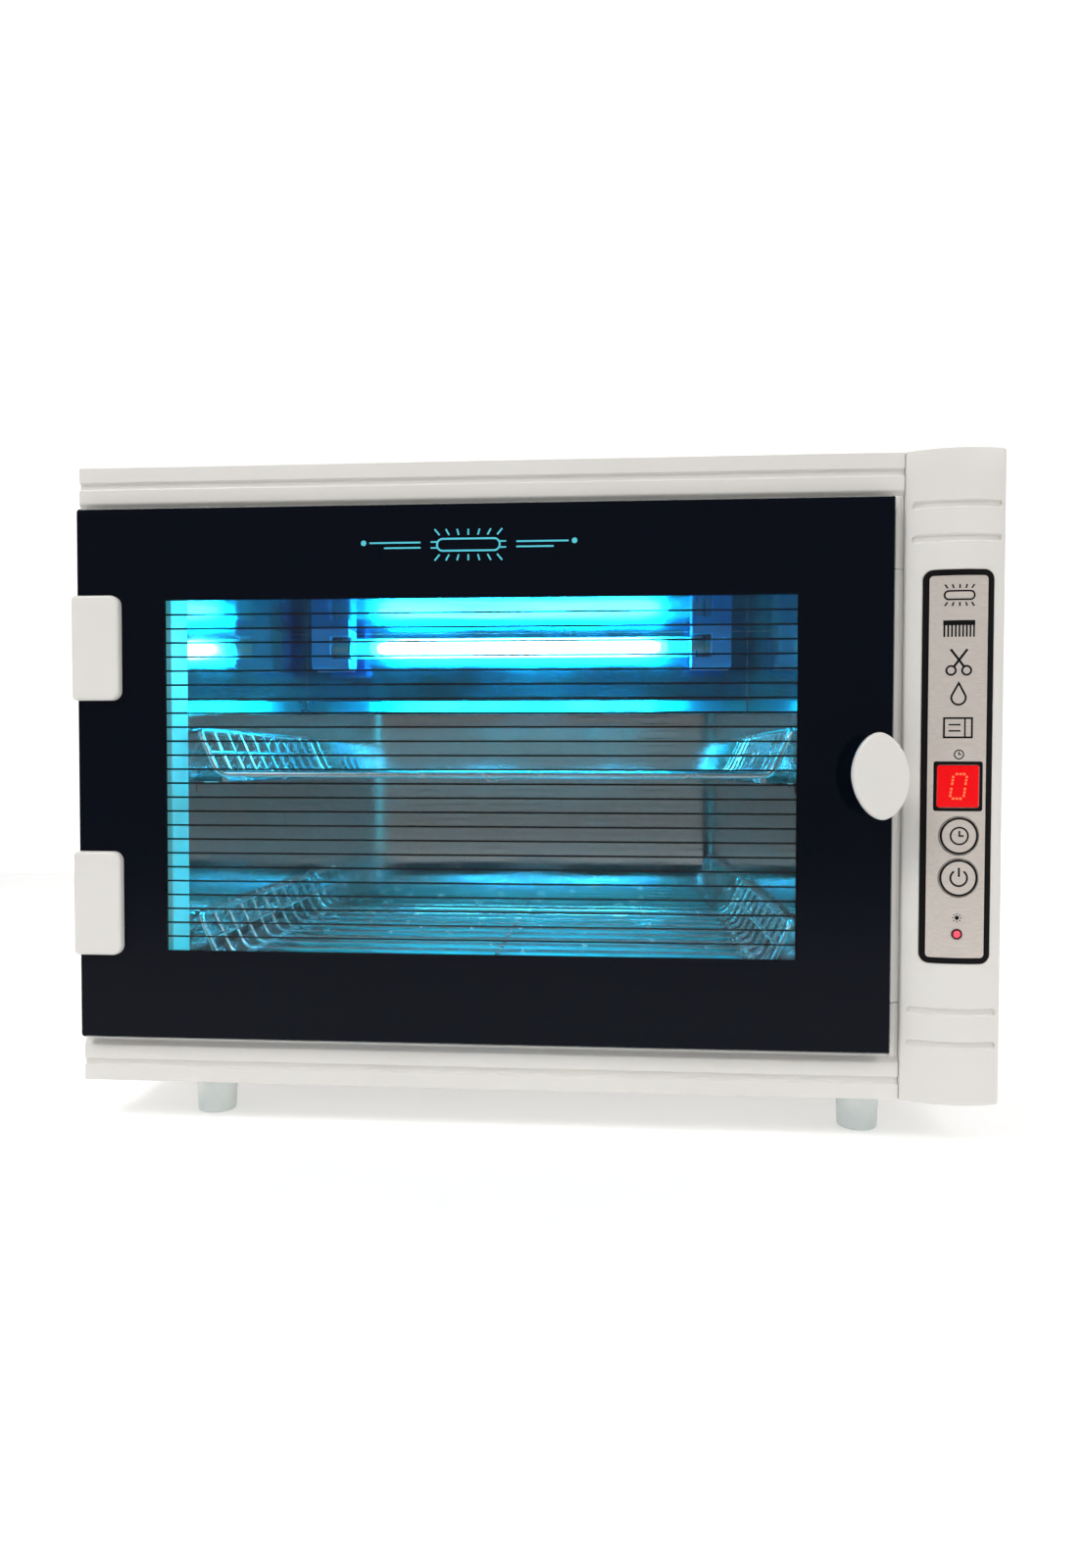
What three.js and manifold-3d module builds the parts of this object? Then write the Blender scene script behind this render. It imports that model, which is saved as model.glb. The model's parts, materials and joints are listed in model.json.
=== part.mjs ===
// Countertop UV sterilizer cabinet for salon tools, modelled as a bench assembly of separate pieces.
//
// Units are millimetres. X runs to the right as seen from the front, Y runs from the front to the back and
// Z points up. Inside the cabinet group, X is 0 at the middle of the body, Y is 0 at the face of the front
// frame and Z is 0 at the underside of the body. The group is then lifted onto its feet and centred.
import * as THREE from "three";
import { mergeVertices } from "three/addons/utils/BufferGeometryUtils.js";
import Module from "manifold-3d";

const wasm = await Module();
wasm.setup();

// ---------------------------------------------------------------- driving dimensions

const CLEAR = 0.3; // gap between pieces that rest on each other
const SHEET = 1.2; // casing steel
const LINER = 0.8; // polished liner sheet

const BODY = { left: -251, right: 251, height: 344, back: 292 };
const FRAME = { depth: 25, wall: 2, recess: 2, lipTop: 321, lipBottom: 23 };
const SEAM_X = 200; // between the door section and the control column
const STRIP = { left: 195.2, right: 197.6, front: 0.4 }; // raised strip between the door glass and the column
const CHAMBER = { left: -199, right: 151, floor: 52, ceiling: 283, back: 269.5 };

const DOOR = { left: -249.5, right: 194, bottom: 26, top: 320, front: -6, thickness: 4, corner: 2 };
const HINGE = { x: -247.1, y: -4, heights: { lower: 101.7, upper: 242.9 } };
const MAGNET = { x: 182.5, z: 225 };
const KNOB = { x: 182.5, z: 173.6, halfWidth: 14.9, halfHeight: 22.7, face: -30, plate: 5 };

const COLUMN = { left: SEAM_X + CLEAR, right: BODY.right, apexX: 229, apexY: -8.2, radius: 59.4, wall: 2.5 };
const GROOVE = { levels: [315, 297.5, 49.3, 31.7], length: 45, height: 4.2, inset: 1.2 };
const OVERLAY = { x: 226.2, z: 178, width: 36, height: 206, corner: 5.5, thickness: 0.6 };
const DISPLAY = { x: 226.8, z: 168.2, width: 20.6, height: 21.8 };
const BUTTON = { x: 227.4, heights: { select: 142.3, power: 120.3 }, radius: 10, pocket: 10.4, sides: 24 };
const LED = { x: 226.8, z: 90.8, radius: 2.5 };
const BOARD = {
  left: 205.5,
  right: 246.5,
  bottom: 72,
  top: 284,
  y: 6,
  thickness: 1.6,
  postPlaces: [209, 243],
  postHeights: [80, 276],
};

const LAMP = { x: -24.6, y: 240, z: 268, length: 288, radius: 8, capLength: 14 };
const BASKET = {
  front: 31,
  back: 262,
  crossWires: 11,
  wire: 2.2,
  rod: 3.4,
  floorHalfWidth: 160,
  rimHalfWidth: 172,
  rimHeight: 26,
  heights: { lower: 63.5, upper: 173 },
};
const FOOT = { x: 185, yFront: 30, yBack: 262, height: 24, topRadius: 12, bottomRadius: 11 };
const INLET = { x: 204, z: 42, width: 50, height: 27 };

const CHAMBER_X = (CHAMBER.left + CHAMBER.right) / 2;
const DOOR_BACK = DOOR.front + DOOR.thickness;
const REAR_SHEET_FRONT = BODY.back - SHEET;
const AHEAD = -20; // a station well in front of the cabinet, where cutters for its front start

// ---------------------------------------------------------------- finishes

const finish = (color, roughness, metalness = 0, extra = {}) =>
  new THREE.MeshStandardMaterial({ color, roughness, metalness, ...extra });

const FINISH = {
  whiteCasing: finish(0xdedbd6, 0.45),
  whitePlastic: finish(0xe3e0dc, 0.4),
  mirror: finish(0xc9d0d2, 0.08, 1),
  chrome: finish(0xd8dcdd, 0.12, 1),
  zinc: finish(0x9fa3a5, 0.35, 1),
  blackGlass: finish(0x0a0c10, 0.05, 0, { transparent: true, opacity: 0.9 }),
  lampGlass: finish(0xbfeef5, 0.1, 0, { transparent: true, opacity: 0.5 }),
  lampCap: finish(0x7d8587, 0.35, 1),
  footPlastic: finish(0xc3d3d3, 0.5),
  silverLabel: finish(0xa9a5a1, 0.35, 0.4),
  redLens: finish(0xd8102a, 0.15),
  darkPlastic: finish(0x1b1c1e, 0.5),
  board: finish(0x1f5a38, 0.6),
  leadSleeve: finish(0xe8e8e4, 0.6),
};

// ---------------------------------------------------------------- solids

// Matrices that stand a shape drawn in its own XY plane in the cabinet: the third column is the way the
// extrusion runs.
const ALONG = {
  x: new THREE.Matrix4().set(0, 0, 1, 0, 1, 0, 0, 0, 0, 1, 0, 0, 0, 0, 0, 1), // drawn in (Y, Z)
  y: new THREE.Matrix4().set(1, 0, 0, 0, 0, 0, -1, 0, 0, 1, 0, 0, 0, 0, 0, 1), // drawn in (X, Z), runs to -Y
  z: new THREE.Matrix4(), // drawn in (X, Y)
};

function solid(geometry) {
  const bare = geometry.clone();
  bare.deleteAttribute("normal");
  bare.deleteAttribute("uv");
  const merged = mergeVertices(bare, 1e-4);
  return new wasm.Manifold(
    new wasm.Mesh({
      numProp: 3,
      vertProperties: merged.attributes.position.array,
      triVerts: new Uint32Array(merged.index.array),
    }),
  );
}

function geometryOf(made) {
  const mesh = made.getMesh();
  const geometry = new THREE.BufferGeometry();
  geometry.setAttribute("position", new THREE.BufferAttribute(mesh.vertProperties, 3));
  geometry.setIndex(new THREE.BufferAttribute(mesh.triVerts, 1));
  return geometry;
}

const join = (first, ...rest) => rest.reduce((sum, next) => sum.add(next), first);
const cut = (first, ...rest) => rest.reduce((left, next) => left.subtract(next), first);

// A box from its six faces.
function box(x0, x1, y0, y1, z0, z1) {
  const geometry = new THREE.BoxGeometry(x1 - x0, y1 - y0, z1 - z0);
  return solid(geometry.translate((x0 + x1) / 2, (y0 + y1) / 2, (z0 + z1) / 2));
}

// A shape extruded along an axis between two stations.
function prism(shape, axis, from, to, curveSegments = 6) {
  const geometry = new THREE.ExtrudeGeometry(shape, { depth: to - from, bevelEnabled: false, curveSegments });
  geometry.applyMatrix4(ALONG[axis]);
  const start = axis === "y" ? [0, to, 0] : axis === "x" ? [from, 0, 0] : [0, 0, from];
  return solid(geometry.translate(...start));
}

const polygon = (points) => new THREE.Shape(points.map(([a, b]) => new THREE.Vector2(a, b)));

// A round bar along an axis through a point given in the other two directions, in X, Y, Z order.
function rod(axis, from, to, [a, b], radius, sides = 16, endRadius = radius) {
  const geometry = new THREE.CylinderGeometry(endRadius, radius, to - from, sides);
  const middle = (from + to) / 2;
  if (axis === "x") geometry.rotateZ(-Math.PI / 2).translate(middle, a, b);
  else if (axis === "y") geometry.translate(a, middle, b);
  else geometry.rotateX(Math.PI / 2).translate(a, b, middle);
  return solid(geometry);
}

// A rectangle with rounded corners, given by its middle; the radii run from the lower left corner round.
function roundedRectangle(cx, cy, width, height, radii) {
  const [lowerLeft, lowerRight, upperRight, upperLeft] = Array.isArray(radii) ? radii : Array(4).fill(radii);
  const x0 = cx - width / 2;
  const x1 = cx + width / 2;
  const y0 = cy - height / 2;
  const y1 = cy + height / 2;
  const shape = new THREE.Shape();
  shape.absarc(x1 - lowerRight, y0 + lowerRight, lowerRight, -Math.PI / 2, 0);
  shape.absarc(x1 - upperRight, y1 - upperRight, upperRight, 0, Math.PI / 2);
  shape.absarc(x0 + upperLeft, y1 - upperLeft, upperLeft, Math.PI / 2, Math.PI);
  shape.absarc(x0 + lowerLeft, y0 + lowerLeft, lowerLeft, Math.PI, Math.PI * 1.5);
  shape.closePath();
  return shape;
}

function ellipse(cx, cy, halfWidth, halfHeight) {
  const shape = new THREE.Shape();
  shape.absellipse(cx, cy, halfWidth, halfHeight, 0, Math.PI * 2);
  return shape;
}

// A solid of revolution about Z: the profile runs from the axis round to the axis, or closes on itself.
function turned(points, sides = 24) {
  const geometry = new THREE.LatheGeometry(
    points.map(([r, z]) => new THREE.Vector2(r, z)),
    sides,
  );
  return solid(geometry.rotateX(Math.PI / 2));
}

// A cable along a curve, with a section of eight sides.
function cable(points, radius, steps) {
  const section = new THREE.Shape();
  section.absarc(0, 0, radius, 0, Math.PI * 2);
  const path = new THREE.CatmullRomCurve3(points.map((p) => new THREE.Vector3(...p)));
  const geometry = new THREE.ExtrudeGeometry(section, { steps, extrudePath: path, curveSegments: 4 });
  return solid(geometry);
}

const cabinet = new THREE.Group();

function place(group, name, made, material, position = [0, 0, 0], rotation = [0, 0, 0]) {
  const mesh = new THREE.Mesh(geometryOf(made), material);
  mesh.name = name;
  mesh.position.set(...position);
  mesh.rotation.set(...rotation);
  group.add(mesh);
  return mesh;
}

function groupAt(parent, x, y, z) {
  const made = new THREE.Group();
  made.position.set(x, y, z);
  parent.add(made);
  return made;
}

// ---------------------------------------------------------------- front frame

// The moulded rails above and below the door. Both carry one decorative groove, drop back to a recess that
// the door lies over, and are hollow and open at the rear.
function buildRails() {
  const groove = { middle: 10.4, half: 1.8, depth: 1.5 };
  const bevel = 3;
  const { wall, recess, depth } = FRAME;

  const rail = (outer, inward, lip, inner) => {
    const at = (distance) => outer + inward * distance;
    const outline = polygon([
      [0, outer],
      [0, at(groove.middle - groove.half)],
      [groove.depth, at(groove.middle - groove.half)],
      [groove.depth, at(groove.middle + groove.half)],
      [0, at(groove.middle + groove.half)],
      [0, lip - inward * bevel],
      [recess, lip],
      [recess, inner],
      [depth, inner],
      [depth, outer],
    ]);
    const bar = prism(outline, "x", BODY.left, SEAM_X);
    const hollow = box(
      BODY.left + wall,
      SEAM_X - wall,
      recess + wall,
      depth + 1,
      Math.min(outer, inner) + wall,
      Math.max(outer, inner) - wall,
    );
    const [stripLow, stripHigh] = [lip, inner].sort((a, b) => a - b);
    const strip = box(STRIP.left, STRIP.right, STRIP.front, recess + 0.1, stripLow, stripHigh);
    return cut(join(bar, strip), hollow);
  };

  place(cabinet, "top_rail", rail(BODY.height, -1, FRAME.lipTop, CHAMBER.ceiling), FINISH.whitePlastic);
  place(cabinet, "bottom_rail", rail(0, 1, FRAME.lipBottom, CHAMBER.floor), FINISH.whitePlastic);
}

// The uprights behind the door glass: open channels between the rails. The right one carries the raised
// strip that shows between the glass and the control column, with a groove on its far side.
function buildStiles() {
  const { wall, recess, depth } = FRAME;
  const low = CHAMBER.floor + CLEAR;
  const high = CHAMBER.ceiling - CLEAR;

  const channel = (x0, x1, frontEdge) =>
    polygon([
      [x0, recess],
      ...frontEdge,
      [x1, depth],
      [x1 - wall, depth],
      [x1 - wall, recess + wall],
      [x0 + wall, recess + wall],
      [x0 + wall, depth],
      [x0, depth],
    ]);
  const plain = [[CHAMBER.left, recess]];
  const stepped = [
    [STRIP.left, recess],
    [STRIP.left, STRIP.front],
    [STRIP.right, STRIP.front],
    [STRIP.right, recess],
    [SEAM_X, recess],
  ];
  const left = channel(BODY.left, CHAMBER.left, plain);
  const right = channel(CHAMBER.right, SEAM_X, stepped);
  place(cabinet, "left_stile", prism(left, "z", low, high), FINISH.whitePlastic);
  place(cabinet, "right_stile", prism(right, "z", low, high), FINISH.whitePlastic);
}

// The region behind the bowed front of the control column, moved in by a distance.
function bowedRegion(inset, x0, x1, back) {
  const centreY = COLUMN.apexY + COLUMN.radius;
  const radius = COLUMN.radius - inset;
  const steps = 9;
  const points = Array.from({ length: steps + 1 }, (_, i) => {
    const x = x0 + ((x1 - x0) * i) / steps;
    return [x, centreY - Math.sqrt(radius ** 2 - (x - COLUMN.apexX) ** 2)];
  });
  return polygon([...points, [x1, back], [x0, back]]);
}

// The moulded column at the right: a bowed shell with two grooves near each end, a recess for the overlay,
// and openings for the display, the two buttons and the lamp indicator.
function buildColumn() {
  const { left, right, wall } = COLUMN;
  const corner = 4;
  const side = bowedRegion(0, left, right - corner / 2, FRAME.depth);
  const front = prism(side, "z", 0, BODY.height);
  const frontAtCorner = COLUMN.apexY + 5.5;
  const cornerBar = prism(
    polygon([
      [right - corner, frontAtCorner - 1],
      [right - corner / 2, frontAtCorner - 0.6],
      [right - corner / 5, frontAtCorner + 0.6],
      [right, frontAtCorner + corner / 2],
      [right, FRAME.depth],
      [right - corner, FRAME.depth],
    ]),
    "z",
    0,
    BODY.height,
  );
  const room = bowedRegion(wall, left + wall, right - wall, FRAME.depth + 1);
  const hollow = prism(room, "z", wall, BODY.height - wall);

  const { length, height, inset } = GROOVE;
  const behindGroove = prism(bowedRegion(inset, left - 1, right + 1, FRAME.depth), "z", 0, BODY.height);
  const grooves = GROOVE.levels.map((z) => {
    const outline = roundedRectangle((left + right) / 2, z, length, height, height / 2 - 0.05);
    return cut(prism(outline, "y", AHEAD, 5, 3), behindGroove);
  });
  const pocketOutline = roundedRectangle(
    OVERLAY.x,
    OVERLAY.z,
    OVERLAY.width + 2 * CLEAR,
    OVERLAY.height + 2 * CLEAR,
    OVERLAY.corner,
  );
  const behindPocket = bowedRegion(OVERLAY.thickness + CLEAR, left, right, FRAME.depth);
  const pocket = cut(prism(pocketOutline, "y", AHEAD, 5), prism(behindPocket, "z", 0, BODY.height));
  const posts = BOARD.postHeights.flatMap((z) =>
    BOARD.postPlaces.map((x) => rod("y", COLUMN.apexY + wall, BOARD.y - CLEAR, [x, z], 2.6, 10)),
  );
  const body = join(cut(join(front, cornerBar), hollow), ...posts);
  const column = cut(body, ...grooves, pocket, ...controlOpenings());
  place(cabinet, "control_column", column, FINISH.whitePlastic);
}

// The openings that the display, the two buttons and the indicator lamp look out of.
function controlOpenings() {
  const halfWidth = DISPLAY.width / 2 + CLEAR;
  const halfHeight = DISPLAY.height / 2 + CLEAR;
  const { x, z } = DISPLAY;
  const behind = 0;
  return [
    box(x - halfWidth, x + halfWidth, AHEAD, behind, z - halfHeight, z + halfHeight),
    ...Object.values(BUTTON.heights).map((level) =>
      rod("y", AHEAD, behind, [BUTTON.x, level], BUTTON.pocket, BUTTON.sides),
    ),
    rod("y", AHEAD, behind, [LED.x, LED.z], LED.radius + CLEAR, 16),
  ];
}

// ---------------------------------------------------------------- casing

// Two side sheets and a top sheet, each with a flange turned in at the rear.
function buildCovers() {
  const start = FRAME.depth + CLEAR;
  const end = REAR_SHEET_FRONT - CLEAR;
  const flange = 12;
  const { left, right, height } = BODY;
  const holes = rearScrewPlaces().map(([x, z]) => rod("y", end - 5, end + 5, [x, z], 2.3, 10));
  const folded = (wall, turned) =>
    polygon([
      [wall, start],
      [wall + turned * SHEET, start],
      [wall + turned * SHEET, end - SHEET],
      [wall + turned * flange, end - SHEET],
      [wall + turned * flange, end],
      [wall, end],
    ]);
  const trims = [
    [-1, SHEET + CLEAR],
    [height - SHEET - CLEAR, height + 1],
  ].map(([low, high]) => box(left + SHEET, right - SHEET, end - 3, end + 1, low, high));
  const leftSheet = prism(folded(left, 1), "z", 0, height);
  const rightSheet = prism(folded(right, -1), "z", 0, height);
  place(cabinet, "side_cover_left", cut(leftSheet, ...trims, ...holes), FINISH.whiteCasing);
  place(cabinet, "side_cover_right", cut(rightSheet, ...trims, ...holes), FINISH.whiteCasing);

  const topOutline = polygon([
    [start, height],
    [start, height - SHEET],
    [end - SHEET, height - SHEET],
    [end - SHEET, height - flange],
    [end, height - flange],
    [end, height],
  ]);
  const top = prism(topOutline, "x", left + SHEET + CLEAR, right - SHEET - CLEAR);
  const besideFlange = flange + CLEAR;
  const corners = [left, right].map((x) =>
    box(x - besideFlange, x + besideFlange, end - 3, end + 1, 0, height - SHEET),
  );
  place(cabinet, "top_cover", cut(top, ...corners), FINISH.whiteCasing);
}

function rearScrewPlaces() {
  const inFromEdge = 7;
  return [12, BODY.height - inFromEdge].flatMap((z) =>
    [BODY.left + inFromEdge, BODY.right - inFromEdge].map((x) => [x, z]),
  );
}

function footPlaces() {
  return {
    front_left: [-FOOT.x, FOOT.yFront],
    front_right: [FOOT.x, FOOT.yFront],
    rear_left: [-FOOT.x, FOOT.yBack],
    rear_right: [FOOT.x, FOOT.yBack],
  };
}

// Slots for cooling air in the electrical bay, as a row of cutters along X.
function ventSlots(axis, x0, pitch, count, from, to, through) {
  return Array.from({ length: count }, (_, i) => {
    const shape = roundedRectangle(x0 + i * pitch, (from + to) / 2, 3, to - from, 1.2);
    return prism(shape, axis, ...through, 1);
  });
}

function buildBase() {
  const start = FRAME.depth + CLEAR;
  const side = SHEET + CLEAR;
  const plate = box(BODY.left + side, BODY.right - side, start, REAR_SHEET_FRONT - CLEAR, 0, SHEET);
  const holes = Object.values(footPlaces()).map((at) => rod("z", -1, SHEET + 1, at, 2.3, 12));
  const slots = ventSlots("z", 218, 6, 5, 110, 150, [-1, SHEET + 1]);
  place(cabinet, "base_plate", cut(plate, ...holes, ...slots), FINISH.whiteCasing);
}

function buildRear() {
  const { left, right, height, back } = BODY;
  const sheet = box(left + CLEAR, right - CLEAR, REAR_SHEET_FRONT, back, CLEAR, height - CLEAR);
  const through = [REAR_SHEET_FRONT - 2, back + 2];
  const holes = rearScrewPlaces().map(([x, z]) => rod("y", ...through, [x, z], 2.3, 12));
  const slots = ventSlots("y", 170, 7, 10, 230, 290, through);
  const socket = box(INLET.x - 14, INLET.x + 14, ...through, INLET.z - 10.4, INLET.z + 10.4);
  place(cabinet, "rear_cover", cut(sheet, ...holes, ...slots, socket), FINISH.whiteCasing);

  const head = turned([
    [0, 0],
    [4, 0],
    [3.7, 1.2],
    [2.4, 2.1],
    [0, 2.4],
  ], 10);
  const shank = rod("z", -8, 0.1, [0, 0], 1.9, 8);
  const slot = box(-5, 5, -0.5, 0.5, 1.4, 5);
  const screw = cut(join(head, shank), slot);
  const turnedBack = [-Math.PI / 2, 0, 0];
  rearScrewPlaces().forEach(([x, z], i) => {
    place(cabinet, `rear_screw_${i + 1}`, screw, FINISH.zinc, [x, back + CLEAR, z], turnedBack);
  });
}

function buildFeet() {
  const { height, topRadius, bottomRadius } = FOOT;
  const foot = turned(
    [
      [5.5, -height],
      [bottomRadius - 1, -height],
      [bottomRadius, -height + 1.5],
      [topRadius, -CLEAR],
      [2.5, -CLEAR],
      [2.5, -6],
      [5.5, -6],
      [5.5, -height],
    ],
    18,
  );
  for (const [name, [x, y]] of Object.entries(footPlaces())) {
    place(cabinet, `foot_${name}`, foot, FINISH.footPlastic, [x, y, 0]);
  }
}

// ---------------------------------------------------------------- chamber

// Five polished sheets line the chamber behind the frame.
function buildLiner() {
  const start = FRAME.depth + CLEAR;
  const end = CHAMBER.back;
  const { left, right, floor, ceiling } = CHAMBER;
  const seam = 0.2;
  const under = floor - LINER;
  const over = ceiling + LINER;
  const sheets = {
    liner_left: box(left - LINER, left, start, end, under, over),
    liner_right: box(right, right + LINER, start, end, under, over),
    liner_floor: box(left + seam, right - seam, start, end, under, floor),
    liner_ceiling: cut(
      box(left + seam, right - seam, start, end, ceiling, over),
      ...[-1, 1].map((way) => rod("z", ceiling - 2, ceiling + 3, [leadX(way), LAMP.y], 4, 16)),
    ),
    liner_back: box(left - LINER, right + LINER, end + seam, end + seam + LINER, under, over),
  };
  for (const [name, made] of Object.entries(sheets)) place(cabinet, name, made, FINISH.mirror);
}

// Angle strips on the side walls carry the two wire baskets.
function buildLedges() {
  const reach = 24;
  const drop = 6;
  const thickness = 1;
  const section = (way) =>
    polygon([
      [0, 0],
      [way * reach, 0],
      [way * reach, -thickness],
      [way * thickness, -thickness],
      [way * thickness, -drop],
      [0, -drop],
    ]);
  for (const [level, height] of Object.entries(BASKET.heights)) {
    const top = height - BASKET.wire / 2 - BASKET.rod + 0.6 - CLEAR;
    const strip = (way) => prism(section(way), "y", BASKET.front + 6, BASKET.back);
    place(cabinet, `${level}_ledge_left`, strip(1), FINISH.mirror, [CHAMBER.left + CLEAR, 0, top]);
    place(cabinet, `${level}_ledge_right`, strip(-1), FINISH.mirror, [CHAMBER.right - CLEAR, 0, top]);
  }
}

// A basket is a row of cross wires, each bent up and outward at both ends, welded on lengthwise bars and
// finished with a rim bar along each side.
function buildBaskets() {
  const { front, back, crossWires, wire, rod: thick, floorHalfWidth, rimHalfWidth, rimHeight } = BASKET;
  const weld = 0.6;
  const half = wire / 2;
  const pitch = (back - front - thick) / (crossWires - 1);
  const outline = polygon([
    [-rimHalfWidth - half, rimHeight],
    [-floorHalfWidth - half, -half],
    [floorHalfWidth + half, -half],
    [rimHalfWidth + half, rimHeight],
    [rimHalfWidth - half, rimHeight],
    [floorHalfWidth - half, half],
    [-floorHalfWidth + half, half],
    [-rimHalfWidth + half, rimHeight],
  ]);
  const cross = Array.from({ length: crossWires }, (_, i) => {
    const y = front + thick / 2 + i * pitch;
    return prism(outline, "y", y - half, y + half);
  });
  const floorTop = -half + weld;
  const floorBars = [-1, 0, 1].map((share) => {
    const x = share * (floorHalfWidth - 4);
    return box(x - thick / 2, x + thick / 2, front, back, floorTop - thick, floorTop);
  });
  const rims = [-1, 1].map((way) => {
    const x = way * rimHalfWidth;
    return box(x - thick / 2, x + thick / 2, front, back, rimHeight - thick / 2, rimHeight + thick / 2);
  });
  const made = join(...cross, ...floorBars, ...rims);
  for (const [level, height] of Object.entries(BASKET.heights)) {
    const shelf = groupAt(cabinet, CHAMBER_X, 0, height);
    place(shelf, `${level}_basket`, made, FINISH.chrome);
  }
}

// ---------------------------------------------------------------- lamp

const leadX = (way) => LAMP.x + way * (LAMP.length / 2 + 8);

// A miniature two-pin germicidal tube in a pair of twist holders under the ceiling.
function buildLamp() {
  const { length, radius, capLength } = LAMP;
  const lamp = groupAt(cabinet, LAMP.x, LAMP.y, LAMP.z);
  const glassHalf = length / 2 - capLength;
  const pin = { spacing: 4.75, radius: 1.2, length: 7 };

  const glassEnd = glassHalf - 0.2;
  place(lamp, "lamp_tube", rod("x", -glassEnd, glassEnd, [0, 0], radius - 0.2, 24), FINISH.lampGlass);
  const shell = rod("x", 0, capLength, [0, 0], radius, 24);
  const pins = [-1, 1].map((side) =>
    rod("x", capLength - 0.5, capLength + pin.length, [(side * pin.spacing) / 2, 0], pin.radius, 10),
  );
  const cap = join(shell, ...pins);
  place(lamp, "lamp_cap_right", cap, FINISH.lampCap, [glassHalf, 0, 0]);
  place(lamp, "lamp_cap_left", cap, FINISH.lampCap, [-glassHalf, 0, 0], [0, 0, Math.PI]);

  // Drawn for the right end, with X running outward from the end face of the cap.
  const roof = CHAMBER.ceiling - LAMP.z - CLEAR;
  const block = prism(roundedRectangle(1.5, (roof - 17) / 2, 26, roof + 17, [6, 6, 0.5, 0.5]), "x", -14, 15);
  const saddle = rod("x", -16, 0.4, [0, 0], radius + 0.7, 20);
  const mouth = box(-16, 0.4, -20, 0, -radius - 0.7, radius + 0.7);
  const pinRoom = rod("x", 0, pin.length + 1.5, [0, 0], 4.4, 16);
  const holder = cut(block, saddle, mouth, pinRoom);
  place(lamp, "lamp_holder_right", holder, FINISH.whitePlastic, [length / 2, 0, 0]);
  place(lamp, "lamp_holder_left", mirroredInX(holder), FINISH.whitePlastic, [-length / 2, 0, 0]);
}

const mirroredInX = (made) => made.mirror([1, 0, 0]);

// ---------------------------------------------------------------- door

// Everything that swings is drawn about the hinge axis, at the middle of the glass edge.
function buildDoor() {
  const door = groupAt(cabinet, HINGE.x, HINGE.y, 0);
  const glassFront = DOOR.front - HINGE.y;
  const glassBack = DOOR_BACK - HINGE.y;
  const left = DOOR.left - HINGE.x;
  const right = DOOR.right - HINGE.x;
  const notch = { depth: 7, half: 20 };

  const { bottom, top, corner } = DOOR;
  const middle = [(left + right) / 2, (bottom + top) / 2];
  const outline = roundedRectangle(...middle, right - left, top - bottom, corner);
  const pane = prism(outline, "y", glassFront, glassBack, 3);
  const notches = Object.values(HINGE.heights).map((z) =>
    box(left - 1, notch.depth, glassFront - 1, glassBack + 1, z - notch.half, z + notch.half),
  );
  const knobX = KNOB.x - HINGE.x;
  const knobHole = rod("y", glassFront - 1, glassBack + 1, [knobX, KNOB.z], 2.6, 16);
  place(door, "door_glass", cut(pane, ...notches, knobHole), FINISH.blackGlass);

  for (const [level, z] of Object.entries(HINGE.heights)) {
    buildHinge(level, z, door, glassFront, glassBack, left);
  }
  buildKnob(groupAt(door, knobX, 0, KNOB.z), glassFront, glassBack);

  const strikeFront = glassBack + CLEAR;
  const strike = prism(roundedRectangle(0, 0, 14, 20, 1.5), "y", strikeFront, strikeFront + 0.8, 2);
  place(door, "strike_plate", strike, FINISH.zinc, [MAGNET.x - HINGE.x, 0, MAGNET.z]);
  const magnet = prism(roundedRectangle(0, 0, 12, 18, 1), "y", -0.6, FRAME.recess - CLEAR, 2);
  place(cabinet, "magnet_catch", magnet, FINISH.darkPlastic, [MAGNET.x, 0, MAGNET.z]);
}

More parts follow.
